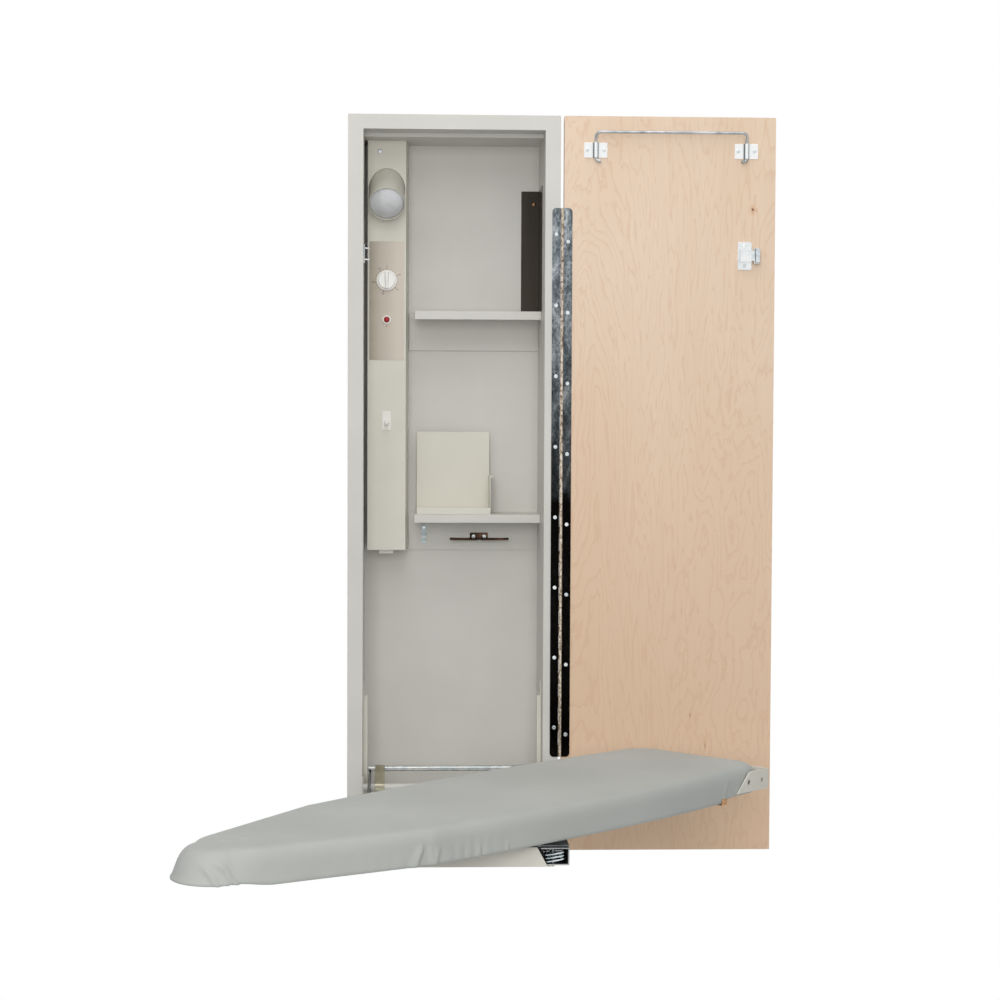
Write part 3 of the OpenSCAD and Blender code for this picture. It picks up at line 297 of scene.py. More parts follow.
# %% [markdown]
# ## Finishes from nodes
#
# Every finish starts alike: a noise in Object coordinates picks between close tones, nudges
# the roughness, and a finer noise becomes a bump. One helper lays those nodes out, and a
# finish then adds what only it has. Values that are even all over are set on the shader.

# %% A helper that lays out a finish
def noise(tree, scale, detail=3.0, distortion=0.0, stretch=(1, 1, 1)):
    """A cloud pattern; a stretch below 1 along an axis draws it out that way."""
    fit = put(tree, "Mapping", Scale=stretch)
    made = put(tree, "TexNoise", Scale=scale, Detail=detail, Distortion=distortion)
    tree.links.new(put(tree, "TexCoord").outputs["Object"], fit.inputs["Vector"])
    tree.links.new(fit.outputs["Vector"], made.inputs["Vector"])
    return made.outputs["Fac"]


def bump(tree, height, distance, strength=1.0, under=None):
    made = put(tree, "Bump", Distance=distance, Strength=strength)
    tree.links.new(height, made.inputs["Height"])
    if under is not None:
        tree.links.new(under, made.inputs["Normal"])
    return made.outputs["Normal"]


finishes = {}


def finish(name, tones, rough, grain=(6, 3), relief=(800, 0.00003), stretch=(1, 1, 1), **even):
    """A finish with a dark and a light tone, or with None where its own nodes give the colour."""
    material = bpy.data.materials.new(name)
    material.use_nodes = True
    tree = material.node_tree
    shader = tree.nodes["Principled BSDF"]
    if tones:
        cloud = noise(tree, grain[0], grain[1], stretch=stretch)
        dark, light = tones
        tree.links.new(ramp(tree, cloud, (0.3, dark), (0.7, light)), shader.inputs["Base Color"])
    spread = put(tree, "MapRange", To_Min=rough[0], To_Max=rough[1])
    tree.links.new(noise(tree, grain[0] * 5, 4, stretch=stretch), spread.inputs["Value"])
    tree.links.new(spread.outputs[0], shader.inputs["Roughness"])
    peel = noise(tree, relief[0], 2, stretch=stretch)
    tree.links.new(bump(tree, peel, relief[1]), shader.inputs["Normal"])
    for key, value in even.items():
        shader.inputs[key.replace("_", " ")].default_value = value
    finishes[name] = material
    return tree, shader.inputs


print("a finish can be laid out")

# %% [markdown]
# ## Paint, plastic and plated metal
#
# Enamel sprayed on steel has a faint orange peel about a millimetre across, so its relief is a
# fine noise a few hundredths deep. Zinc plate is cloudy, with bluish and yellowish patches.
# Bright wire is smoother. Images could be laid on the pieces, but those need a map of each
# one. These finishes differ only in tone, roughness and how metallic they are, so one helper
# makes them all.

# %% Plain finishes
finish("painted_shell", ("c9c7c0", "d0cec7"), (0.36, 0.5), Specular_IOR_Level=0.45)
finish("painted_cream", ("cfccc0", "d8d5c9"), (0.34, 0.48), Specular_IOR_Level=0.45)
finish("zinc_plate", ("9fa9b0", "d2d2cb"), (0.2, 0.38), (60, 4), (900, 0.00002), Metallic=1)
finish("chrome_wire", ("8d9396", "c3c7c9"), (0.1, 0.2), (40, 3), (500, 0.00001), Metallic=1)
finish("plain_steel", ("5f6366", "85898b"), (0.28, 0.45), (50, 5), (900, 0.00002), Metallic=1)
finish("strap_steel", ("9d967f", "c2bda9"), (0.3, 0.45), (30, 4), (700, 0.00002), Metallic=0.75)
finish("white_plastic", ("e2e0d9", "ecebe5"), (0.3, 0.42), (30, 2), (600, 0.00002))
finish("case_plastic", ("33332f", "45443f"), (0.4, 0.55), (30, 2), (900, 0.00004))
finish("porcelain", ("dcd8ca", "eae7dd"), (0.15, 0.3), (30, 2), (300, 0.00003), Coat_Weight=0.6)
finish("red_lens", ("84030b", "ae0f1a"), (0.22, 0.32), (200, 2), (300, 0.00005), Coat_Weight=0.25)
finish("felt", ("bdb8a8", "d6d1c2"), (0.85, 0.95), (90, 5), (1500, 0.0002), Sheen_Weight=0.3)
finish("clip_plastic", ("d5d9da", "e8eae9"), (0.25, 0.4), (60, 2), (500, 0.00002),
       Subsurface_Weight=0.25)
finish("screw_zinc", ("c4ccd0", "eef2f3"), (0.16, 0.3), (120, 3), (900, 0.00001), Metallic=0.9)
finish("bracket_zinc", ("dfe3e5", "f6f7f7"), (0.2, 0.34), (60, 3), (900, 0.00001), Metallic=1)
finish("spring_zinc", ("9fb0b4", "e2e8e8"), (0.12, 0.24), (120, 3), (900, 0.00001), Metallic=1)
finish("hook_bronze", ("2e241d", "6e5242"), (0.12, 0.24), (60, 3), (700, 0.00001), Metallic=1)
finish("rivet_brass", ("8d6b48", "c29a72"), (0.2, 0.3), (200, 3), (700, 0.00001), Metallic=1)
finish("knob_plastic", ("e9e7e1", "f1f0eb"), (0.24, 0.34), (40, 2), (500, 0.00001), Coat_Weight=0.3)
finish("dial_ink", ("571319", "701c24"), (0.5, 0.6), (300, 2), (900, 0.00001))
print(len(finishes), "plain finishes")

# %% [markdown]
# ## Rails in painted shade, with bare ends
#
# The arm's rails are coloured near black, which is painted shade: the inside of the channel
# and its top under the board lie in shadow. Their sawn ends and their outer sides are bare.
# The rail's faces could be given a material each. Two thresholds on the coordinates choose the
# bare places instead, so the rail stays one solid with one finish.

# %% Rails in painted shade
tree, inputs = finish("dark_steel", None, (0.28, 0.42), (20, 3), (700, 0.00003), Coat_Weight=0.2)
end_y, side_x = at(0, rail_end_y, 0).y, rail_side_x * MM
end = between(tree, axes(tree)["Y"], end_y + 0.0004, end_y - 0.0006)
flank = between(tree, maths(tree, "ABSOLUTE", axes(tree)["X"]), side_x - 0.0005, side_x + 0.0005)
scuffed = noise(tree, 40, 4)
# Near black is painted shade for the channel's inside and its top under the board.
shade_black = ramp(tree, scuffed, (0.35, "141517"), (0.65, "202226"))
bare = ramp(tree, scuffed, (0.35, "8b8d8b"), (0.65, "bcbdba"))
tree.links.new(mix(tree, maths(tree, "MAXIMUM", end, flank), shade_black, bare), inputs["Base Color"])
print("the rails are bare in front of y", round(end_y, 3))

# %% [markdown]
# ## Galvanised hinge
#
# The hinge's leaves are mottled, and their colour carries a painted reflection: bluish and
# light at the top and near black lower down, where only fine specks shine as painted glints.
# Dark cards round the cabinet could be mirrored in them, but they would darken every other
# metal as well. So two ramps over one pattern are mixed by height, and the knuckles get a band
# of painted highlight round the pin.

# %% Hinge metal
tree, inputs = finish("galvanised", None, (0.16, 0.34), (55, 5), (900, 0.00002), Metallic=1)
patches = noise(tree, 38, 5, 0.8, (1, 1, 0.45))
spots = noise(tree, 260, 4, 0.6, (1, 1, 0.55))
spangle_and_reflection = maths(tree, "ADD", maths(tree, "MULTIPLY", patches, 0.55),
             maths(tree, "MULTIPLY", spots, 0.45))
# The light upper ramp and the near-black lower ramp are painted reflection, with painted glints as
# specks.
upper = ramp(tree, spangle_and_reflection, (0.36, "464c50"), (0.47, "6f787d"), (0.56, "989fa4"), (0.68, "cdd1d2"))
lower = ramp(tree, spangle_and_reflection, (0.46, "0b0a09"), (0.59, "12110f"), (0.68, "24231f"), (0.76, "7c7a74"))
uneven_height = maths(tree, "ADD", axes(tree)["Z"], maths(tree, "MULTIPLY", patches, 0.12))
leaf_painted_reflection = mix(tree, between(tree, uneven_height, 0.46, 0.02), upper, lower)
knuckle_painted_highlight = ramp(tree, spots, (0.36, "776957"), (0.5, "c9b7a3"), (0.66, "e6ddd2"))


def aside(tree, x):
    """The distance to the left or right of a place, in centimetres."""
    away = maths(tree, "SUBTRACT", axes(tree)["X"], x * MM)
    return maths(tree, "MULTIPLY", maths(tree, "ABSOLUTE", away), 100)


# A band of painted highlight on the knuckles, round the pin.
highlight_band = ramp(tree, aside(tree, hinge_x), (0.27, 1.0), (0.31, 0.0))
tree.links.new(mix(tree, highlight_band, leaf_painted_reflection, knuckle_painted_highlight), inputs["Base Color"])
print("hinge metal, bright round x", hinge_x, "mm")

# %% [markdown]
# ## Shield, bracket, dial foil, mirror and bulb
#
# The shield was rolled, so its clouds are drawn out along its height. The bright plates that
# hold the garment rail carry painted shade, dark along both sides of the wire. The dial's foil
# has brushed lines across and darkens to the left. A shader can stretch its highlights to look
# brushed, but lines of stretched noise are also there where no light falls.

# %% Metals with a direction, and glass
finish("shield_steel", ("2b2723", "4b453d"), (0.16, 0.3), (9, 4), (60, 0.0001), (1, 1, 0.12),
       Metallic=0.9)

tree, inputs = finish("saddle_zinc", None, (0.2, 0.34), (60, 3), (900, 0.00001), Metallic=1)
# The dark bands on both sides of the wire are painted shade.
nearest = maths(tree, "MINIMUM", aside(tree, legs[0]), aside(tree, legs[1]))
tree.links.new(ramp(tree, nearest, (0.24, "eff1f1"), (0.33, "555c60"), (0.46, "7d8589"),
                    (0.56, "e6e9ea"), (0.9, "f4f5f5")), inputs["Base Color"])

tree, inputs = finish("dial_foil", None, (0.32, 0.42), (14, 2), (2500, 0.00001), (0.03, 1, 1),
                      Metallic=0.25)
brushed = noise(tree, 90, 3, stretch=(0.05, 1, 1))
across = maths(tree, "ADD", between(tree, axes(tree)["X"], -0.1545, -0.1),
               maths(tree, "MULTIPLY", brushed, 0.12))
tree.links.new(ramp(tree, across, (0.0, "9a9383"), (0.45, "b9b0a3"), (1.0, "cbc1b5")),
               inputs["Base Color"])

finish("mirror", ("dfe5e6", "e6ebec"), (0.015, 0.03), (3, 2), (4, 0.00002), Metallic=1)
finish("bulb_glass", ("c9cbcc", "dadbdc"), (0.12, 0.2), (30, 2), (900, 0.00004),
       Transmission_Weight=0.1, Coat_Weight=1.0, Coat_Roughness=0.05)
print(len(finishes), "finishes so far")

# %% [markdown]
# ## Maple veneer
#
# Rotary-cut maple shows its growth rings as wandering contour lines, drawn out along the
# grain. A wave texture draws rings too, but too evenly. Here a slow noise stretched down the
# door is a height map, and its contours are found by taking many times that height and
# keeping what is left after the whole number. A warmer, slightly darker tone towards the
# bottom is painted shade under the board, and fine pores run down the grain.

# %% Maple
tree, inputs = finish("maple", None, (0.38, 0.5), (5, 3), (500, 0.00003), (1, 1, 0.25))
hill = noise(tree, 4.6, 6, 0.7, (1, 1, 0.19))
ring = maths(tree, "FRACT", maths(tree, "MULTIPLY", hill, 44))
line = ramp(tree, ring, (0.0, 0.0), (0.66, 0.1), (0.9, 1.0), (1.0, 0.0))
fine = noise(tree, 120, 5, 0.3, (1, 1, 0.035))
flecks = ramp(tree, noise(tree, 420, 3, 0, (1, 1, 0.06)), (0.66, 0.0), (0.78, 1.0))
wide = noise(tree, 4.2, 2, 0.4, (1, 1, 0.35))
clean = ramp(tree, wide, (0.3, "dec5ab"), (0.7, "e5d0bb"))
# A warmer, slightly darker tone towards the bottom is painted shade under the board.
low_painted_shade = mix(tree, between(tree, axes(tree)["Z"], 0.45, -0.62), clean, tone("dfc1a3"))
contoured = mix(tree, maths(tree, "MULTIPLY", line, 0.3), low_painted_shade, tone("cb9d7a"))
grained = mix(tree, maths(tree, "MULTIPLY", fine, 0.22), contoured, tone("cfab89"))
pored = mix(tree, maths(tree, "MULTIPLY", flecks, 0.3), grained, tone("b98d66"))
print("maple grain from", len(tree.nodes), "nodes")

# %% [markdown]
# ## Knot and streaks
#
# One small knot and two mineral streaks sit where they do on the real panel. They could be
# painted into an image. The distance from a place, roughened by a noise, does it in nodes: a
# small distance gives the dark core, and a larger one the softer halo round it.

# %% Knot and streaks
def mark(tree, below, x, z, wide, high, core, halo):
    """A dark core with a softer halo round it, at a place on the panel."""
    spot = at(x, 0, z)
    scale = (1 / (wide * MM), 0, 1 / (high * MM))
    shift = put(tree, "Mapping", Location=(-spot.x * scale[0], 0, -spot.z * scale[2]), Scale=scale)
    tree.links.new(put(tree, "TexCoord").outputs["Object"], shift.inputs["Vector"])
    away = put(tree, "VectorMath", operation="LENGTH")
    tree.links.new(shift.outputs["Vector"], away.inputs[0])
    rough_edge = maths(tree, "ADD", away.outputs["Value"],
                       maths(tree, "MULTIPLY", noise(tree, 160, 4), 0.9))
    soft = mix(tree, ramp(tree, rough_edge, (0.55, 0.55), (1.0, 0.0)), below, tone(halo))
    return mix(tree, ramp(tree, rough_edge, (0.5, 0.9), (0.62, 0.0)), soft, tone(core))


knotted = mark(tree, pored, 537.3, 1159.8, 17, 22, "4a2414", "c9915f")
streaked = mark(tree, knotted, 430.8, 246.1, 3.5, 20, "9a5d3a", "c79a70")
streaked = mark(tree, streaked, 458.7, 191.2, 3.5, 34, "a86b42", "c79a70")
tree.links.new(streaked, inputs["Base Color"])
print("maple veneer, with its marks, from", len(tree.nodes), "nodes")

# %% [markdown]
# ## Cotton cover
#
# The cover is tightly woven cotton with a silvery grey finish. Its threads are half a
# millimetre apart and follow the cloth, so they are drawn on the cover's own UV map, which is
# laid out in metres later on. Two wave textures crossed at a right angle give the weave, and a
# slow noise the slight unevenness of washed cloth.

# %% Cotton
tree, inputs = finish("cotton", None, (0.7, 0.82), (7, 4), Sheen_Weight=0.12, Sheen_Roughness=0.45)
cloth = put(tree, "UVMap")
threads = []
for direction in ("X", "Y"):
    wave = put(tree, "TexWave", Scale=320, Distortion=0.6, Detail=1.0, bands_direction=direction)
    tree.links.new(cloth.outputs["UV"], wave.inputs["Vector"])
    threads.append(wave.outputs["Fac"])
weave = maths(tree, "MULTIPLY", threads[0], threads[1])
creases = noise(tree, 22, 4, 1.2)
under = bump(tree, creases, 0.0016, 0.35)
tree.links.new(bump(tree, weave, 0.00012, 0.5, under), inputs["Normal"])
base = ramp(tree, noise(tree, 6, 3), (0.3, "acaea9"), (0.7, "b5b7b2"))
threaded = mix(tree, maths(tree, "MULTIPLY", weave, 0.35), base, tone("c6c8c3"))
tree.links.new(threaded, inputs["Base Color"])
print("cotton weave, with", len(finishes), "finishes in all")

# %% [markdown]
# ## Paint the solids
#
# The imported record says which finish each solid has, so the frame is painted in one loop. The
# nodes that later cells replace keep theirs too, and hand it on to what replaces them.

# %% One finish for each solid
slot_of = {row["node"]: row["material_slot"] for row in frame["record"]["subparts"]}
body_of = {n: b for b, names in frame["record"]["behaviour"]["bodies"].items() for n in names}
for name, solid in frame["nodes"].items():
    solid.data.materials.clear()
    solid.data.materials.append(finishes[slot_of[name]])
print(len(frame["nodes"]), "solids painted in", len(set(slot_of.values())), "finishes")

# %% [markdown]
# ## Working by hand
#
# These helpers are what a hand does in the window. The first ones add a primitive at its size
# and place. Everything is deselected first, because an operator acts on all that is selected.
# The object always ends at the origin with its place in its mesh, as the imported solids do.

# %% Primitives at their places
def settle(name):
    piece = bpy.context.active_object
    piece.name = name
    piece.data.name = name
    bpy.ops.object.transform_apply(location=True, rotation=True, scale=True)
    return piece


def block(name, low, high):
    none()
    a, b = at(*low), at(*high)
    bpy.ops.mesh.primitive_cube_add(size=1, location=(a + b) / 2)
    bpy.ops.transform.resize(value=b - a)
    return settle(name)


def rod(name, start, end, radius, sides=32, far=None):
    none()
    a, b = at(*start), at(*end)
    turned = (b - a).to_track_quat("Z", "Y").to_euler()
    bpy.ops.mesh.primitive_cone_add(vertices=sides, radius1=radius * MM, depth=(b - a).length,
                                    radius2=(radius if far is None else far) * MM,
                                    location=(a + b) / 2, rotation=turned)
    return settle(name)


print("blocks and rods ready")

# %% [markdown]
# ## Selecting, and rounding edges
#
# In edit mode, faces, edges or points are chosen by where they lie, so that an operator works
# on them alone. A modifier is added and applied at once. No edge of a real thing is quite
# sharp, and a narrow bevel catches the light, so one helper rounds whatever is still sharp.

# %% Selection and modifiers
def choose(piece, kind, test):
    """Goes into edit mode and selects the faces, edges or points that pass a test."""
    only(piece)
    bpy.ops.object.mode_set(mode="EDIT")
    bpy.ops.mesh.select_mode(type=kind)
    bpy.ops.mesh.select_all(action="DESELECT")
    mesh = bmesh.from_edit_mesh(piece.data)
    for part in {"FACE": mesh.faces, "EDGE": mesh.edges, "VERT": mesh.verts}[kind]:
        points = [part.co] if kind == "VERT" else [v.co for v in part.verts]
        normal = part.normal if kind != "EDGE" else Vector()
        if test(sum(points, Vector()) / len(points), normal):
            part.select_set(True)
    bmesh.update_edit_mesh(piece.data)


def leave():
    bpy.ops.object.mode_set(mode="OBJECT")


def apply(piece, kind, **settings):
    only(piece)
    bpy.ops.object.modifier_add(type=kind)
    made = piece.modifiers[-1]
    for key, value in settings.items():
        setattr(made, key, value)
    bpy.ops.object.modifier_apply(modifier=made.name)
    return piece


def ease(piece, width, segments=2, angle=30):
    """Rounds the sharp edges by a width in millimetres and keeps the flats looking flat."""
    apply(piece, "BEVEL", width=width * MM, segments=segments, limit_method="ANGLE",
          angle_limit=math.radians(angle))
    bpy.ops.object.shade_smooth_by_angle(angle=math.radians(52))
    return apply(piece, "WEIGHTED_NORMAL", keep_sharp=True)


print("selection and modifiers ready")

# %% [markdown]
# ## Joining and dressing
#
# Parts that are fixed to each other become one piece. A piece is dressed when it has its
# finish, rides the body that moves it, and the imported solids that it stands for are hidden.

# %% Joining and dressing
def join(name, *parts):
    none()
    for part in parts:
        part.select_set(True)
    bpy.context.view_layer.objects.active = parts[0]
    if len(parts) > 1:
        bpy.ops.object.join()
    return settle(name)


def dress(piece, body, slot, *stands_for, look=None):
    piece.data.materials.clear()
    piece.data.materials.append(finishes[look or slot])
    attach(piece, body)
    if stands_for:
        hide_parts(*stands_for)
    return piece


# %% [markdown]
# ## Sheet metal with eased edges
#
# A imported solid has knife-sharp edges, and nothing that is folded, sawn or sprayed has. The
# quickest honest way to ease them is a copy of the solid: its loose triangles are merged, the
# flat ones dissolved into whole faces, and a narrow bevel runs along what is still sharp. Each
# width is that of the real edge, from a tenth of a millimetre on foil to more on glass.

# %% Eased copies of the plain solids
looks = {"pivot_shaft": "painted_shell", "catch_body": "bracket_zinc",
         "catch_slide": "screw_zinc", "catch_roller": "screw_zinc", "cover_clip": "rivet_brass"}


def eased_copy(name, width, segments=2):
    solid = frame["nodes"][name]
    only(solid)
    bpy.ops.object.duplicate()
    piece = bpy.context.active_object
    bpy.ops.object.parent_clear(type="CLEAR")
    for key in list(piece.keys()):
        del piece[key]
    piece.name = name + "_eased"
    bpy.ops.object.mode_set(mode="EDIT")
    bpy.ops.mesh.select_all(action="SELECT")
    bpy.ops.mesh.remove_doubles(threshold=0.000002)
    bpy.ops.mesh.dissolve_limited(angle_limit=math.radians(0.4))
    leave()
    ease(piece, width, segments)
    return dress(piece, body_of[name], slot_of[name], name, look=looks.get(name))


widths = {
    "surround": 0.7, "side_brackets": 0.45, "upper_shelf": 0.6, "lower_shelf": 0.6,
    "upper_back_rail": 1.2, "lower_back_rail": 1.2, "heat_shield": 0.3, "pocket": 0.55,
    "channel_cover": 0.5, "channel_back": 0.4, "lamp_housing": 0.35, "dial_plate": 0.15,
    "timer_body": 1.2, "switch_plate": 0.5, "switch_body": 1.0, "outlet": 0.6,
    "catch_strike": 0.4, "door_panel": 0.8, "mirror_glass": 1.4, "hinge_leaf_cabinet": 0.2,
    "hinge_leaf_door": 0.2, "catch_body": 0.5, "catch_slide": 0.3, "catch_roller": 0.5,
    "tie_straps": 0.4, "arm_rails": 0.8, "pivot_ears": 0.6, "cross_plate": 0.7,
    "deck_plate": 0.7, "swivel_top": 0.6, "swivel_bolt": 0.5, "spring_hooks": 0.4,
    "cover_clip": 0.3, "cord_clip": 0.4, "pilot_bezel": 0.5, "lamp_socket": 0.6,
    "cross_rod": 0.6, "pivot_shaft": 0.6, "board_pan": 0.5}
for name, width in widths.items():
    eased_copy(name, width)
print(len(widths), "solids eased")

# %% [markdown]
# ## Screws
#
# A pan-head screw is a short cylinder whose rim is rounded, with a cross cut into it by two
# blades, and a tapered shank. It could be spun from a profile too, but the cross needs the
# blades in any case, and a cylinder with a bevel is as round.

# %% One screw
def slotted(piece, place, length, width, depth):
    """Cuts a cross into a head that faces the front, with a boolean that is applied."""
    for turn in (45, 135):
        none()
        bpy.ops.mesh.primitive_cube_add(size=1, location=at(*place))
        bpy.ops.transform.resize(value=(length * MM, depth * 2 * MM, width * MM))
        bpy.ops.transform.rotate(value=math.radians(turn), orient_axis="Y",
                                 center_override=at(*place))
        blade = settle("blade")
        apply(piece, "BOOLEAN", operation="DIFFERENCE", object=blade, solver="EXACT")
        bpy.data.objects.remove(blade)


def screw(x, y, z, head_r, head_h, shank_r, depth):
    """A screw whose head stands on the plane y, with its shank going in by a depth."""
    head = rod("screw", (x, y, z), (x, y - head_h, z), head_r, 40, head_r * 0.94)
    apply(head, "BEVEL", width=head_h * 0.45 * MM, segments=3, limit_method="ANGLE",
          angle_limit=math.radians(50))
    slotted(head, (x, y - head_h, z), head_r * 1.15, head_r * 0.24, head_h * 0.55)
    shank = rod("shank", (x, y - 0.2, z), (x, y + depth, z), shank_r, 20, shank_r * 0.7)
    piece = join("screw", head, shank)
    bpy.ops.object.shade_smooth_by_angle(angle=math.radians(40))
    return piece


print("a screw can be made in any size")

# %% [markdown]
# ## Screws at their places
#
# Screws of one row are alike, but nobody lines their crosses up. An array would line them up,
# so the first screw is modelled, and copied to the other places with its own mesh, a little
# turned each time. The hinge's rows have one pitch, and the door's leaf starts a little lower
# than the cabinet's.

# %% Hinge screws
def repeat(first, places, turn_step=37.0):
    """Copies a piece to the other places, each with its own mesh, and joins them all."""
    start = Vector(places[0])
    copies = [first]
    for i, place in enumerate(places[1:], 1):
        only(first)
        bpy.ops.object.duplicate()
        bpy.ops.transform.rotate(value=math.radians(turn_step * i), orient_axis="Y",
                                 center_override=at(*start))
        bpy.ops.transform.translate(value=(Vector(place) - start) * MM)
        copies.append(bpy.context.active_object)
    return join(first.name, *copies)


leaf_face, leaf_screw, low_screw, screw_pitch = -1.2, 10.5, 224, 127
for name, side, drop in (("hinge_screws_cabinet", -1, 0), ("hinge_screws_door", 1, 12.8)):
    places = [(hinge_x + side * leaf_screw, leaf_face, low_screw - drop + screw_pitch * i)
              for i in range(8)]
    made = repeat(screw(*places[0], 3.6, 1.0, 1.6, 10.2), places)
    made.name = name + "_detailed"
    dress(made, body_of[name], slot_of[name], name, look="screw_zinc")
print("two rows of", len(places), "hinge screws")

# %% [markdown]
# ## Door screws
#
# Each rail bracket is held by two screws, and the catch by two that stand on its thicker
# plate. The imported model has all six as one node, so they are joined into one piece too.

# %% Door screws
rail_z, bracket_z = 1295, 1264
catch_x, catch_z = 522.7, 1077
places = [(x + s * 15, -1.5, bracket_z) for x in legs for s in (-1, 1)]
flat = repeat(screw(*places[0], 3.4, 1.5, 1.6, 11.5), places)
places = [(catch_x, -2.0, catch_z + s * 17.5) for s in (-1, 1)]
raised = repeat(screw(*places[0], 3.4, 1.5, 1.6, 12), places)
door_screws = join("door_screws_detailed", flat, raised)
dress(door_screws, "door", slot_of["door_screws"], "door_screws", look="screw_zinc")
print("door screws have", len(door_screws.data.polygons), "faces")

# %% [markdown]
# ## Screws inside the cabinet
#
# The cord hook, the cord clip and the channel's tab have wider screws, and the catch's strike
# has two that go in sideways. The screw helper only knows the front, so these two are made like
# the rest and turned afterwards, which is simpler than a helper that knows every side.

# %% Screws inside the cabinet
places = [(x, 192.5, 559) for x in (42.4, 62.3)]
hook_pair = repeat(screw(*places[0], 4.2, 2.6, 2.0, 5), places)
clip_one = screw(-51.5, 193.0, 576, 3.8, 2.2, 2.0, 4.5)
tab_one = screw(-134.75, 116.0, 1272, 4.2, 2.4, 2.0, 12)
dress(join("fitting_screws_detailed", hook_pair, clip_one, tab_one), "cabinet",
      slot_of["fitting_screws"], "fitting_screws", look="screw_zinc")

places = [(-161.5, 14, 1067), (-161.5, 14, 1087)]
side_pair = [screw(*place, 3.0, 1.5, 1.5, 9.5) for place in places]
for made, place in zip(side_pair, places):
    only(made)
    bpy.ops.transform.rotate(value=math.radians(90), orient_axis="Z", center_override=at(*place))
side_pair = join("strike_screws_detailed", *side_pair)
dress(side_pair, "cabinet", slot_of["strike_screws"], "strike_screws", look="screw_zinc")
print("a pair of side screws has", len(side_pair.data.polygons), "faces")

# %% [markdown]
# ## Wires
#
# A bent wire could be extruded bend by bend from a circle, but it would get thinner in its
# bends. So its path is worked out first, with an arc of one radius at each corner point. A
# curve with a round bevel follows that path, and is then made a mesh.

# %% Wires with rounded bends
def rounded(points, radius, steps=8):
    """The corner points with an arc put in at each inner corner."""
    pts = [Vector(p) for p in points]
    path = [pts[0]]
    for before, corner, after in zip(pts, pts[1:], pts[2:]):
        into, out = (before - corner).normalized(), (after - corner).normalized()
        half = into.angle(out) / 2
        reach = min(radius / math.tan(half), (before - corner).length * 0.49,
                    (after - corner).length * 0.49)
        bow = reach * math.tan(half)
        centre = corner + (into + out).normalized() * bow / math.sin(half)
        start, end = corner + into * reach, corner + out * reach
        for i in range(steps + 1):
            path.append(centre + (start - centre).slerp(end - centre, i / steps).normalized() * bow)
    return path + [pts[-1]]


def wire(name, points, radius, bend, sides=8):
    curve = bpy.data.curves.new(name, "CURVE")
    curve.dimensions = "3D"
    curve.bevel_depth = radius * MM
    curve.bevel_resolution = sides // 2
    curve.use_fill_caps = True
    line = curve.splines.new("POLY")
    path = rounded(points, bend) if bend else [Vector(p) for p in points]
    line.points.add(len(path) - 1)
    for point, place in zip(line.points, path):
        point.co = (*at(*place), 1)
    piece = bpy.data.objects.new(name, curve)
    bpy.context.scene.collection.objects.link(piece)
    only(piece)
    bpy.ops.object.convert(target="MESH")
    piece = bpy.context.active_object
    bpy.ops.object.mode_set(mode="EDIT")
    bpy.ops.mesh.select_all(action="SELECT")
    bpy.ops.mesh.remove_doubles(threshold=0.00002)
    bpy.ops.mesh.normals_make_consistent(inside=False)
    leave()
    bpy.ops.object.shade_smooth_by_angle(angle=math.radians(60))
    return piece


print("wires ready")

# %% [markdown]
# ## Garment rail
#
# The rail is one wire: it comes up through its two brackets, leans out from the door, and runs
# across. Its lower ends are turned inward below the brackets, so that it cannot slip out.
# Eight corner points are all that the wire helper needs.

# %% Garment rail
low_z, bend_z, in_y, out_y = 1245.5, 1280.7, -4.2, -16.0
left_leg, right_leg = legs
path = [(left_leg + 9, in_y - 3, low_z - 1), (left_leg, in_y, low_z), (left_leg, in_y, bend_z),
        (left_leg, out_y, rail_z), (right_leg, out_y, rail_z), (right_leg, in_y, bend_z),
        (right_leg, in_y, low_z), (right_leg - 9, in_y - 3, low_z - 1)]
rail = wire("garment_rail_wire", path, 2.6, 9, 12)
dress(rail, "door", slot_of["garment_rail"], "garment_rail")
print("rail wire", len(rail.data.polygons), "faces")

# %% [markdown]
# ## Rail brackets
#
# Each bracket is a strip bent round the wire. It could be cut from a block, but bent metal is
# equally thick all along. So a line of two points is extruded along the bend's outline, and
# the sheet that it leaves is given its thickness by a modifier.

# %% Bent strips for the brackets
def strip(name, outline, low, high, thick, round_to):
    """A sheet whose outline in x and y is drawn out upward, from one height to another."""
    none()
    first = at(outline[0][0], outline[0][1], low)
    bpy.ops.mesh.primitive_plane_add(size=1, location=first)
    piece = bpy.context.active_object
    bpy.ops.object.mode_set(mode="EDIT")
    mesh = bmesh.from_edit_mesh(piece.data)
    corners = list(mesh.verts)
    bmesh.ops.delete(mesh, geom=corners[2:], context="VERTS")
    a, b = list(mesh.verts)
    a.co = at(outline[0][0], outline[0][1], low) - piece.location
    b.co = at(outline[0][0], outline[0][1], high) - piece.location
    bmesh.update_edit_mesh(piece.data)
    bpy.ops.mesh.select_all(action="SELECT")
    for before, after in zip(outline, outline[1:]):
        step = Vector((after[0] - before[0], after[1] - before[1], 0)) * MM
        bpy.ops.mesh.extrude_edges_move(TRANSFORM_OT_translate={"value": step})
    bpy.ops.mesh.select_all(action="SELECT")
    bpy.ops.mesh.normals_make_consistent(inside=False)
    leave()
    settle(name)
    apply(piece, "SOLIDIFY", thickness=thick * MM, offset=0)
    return ease(piece, round_to)


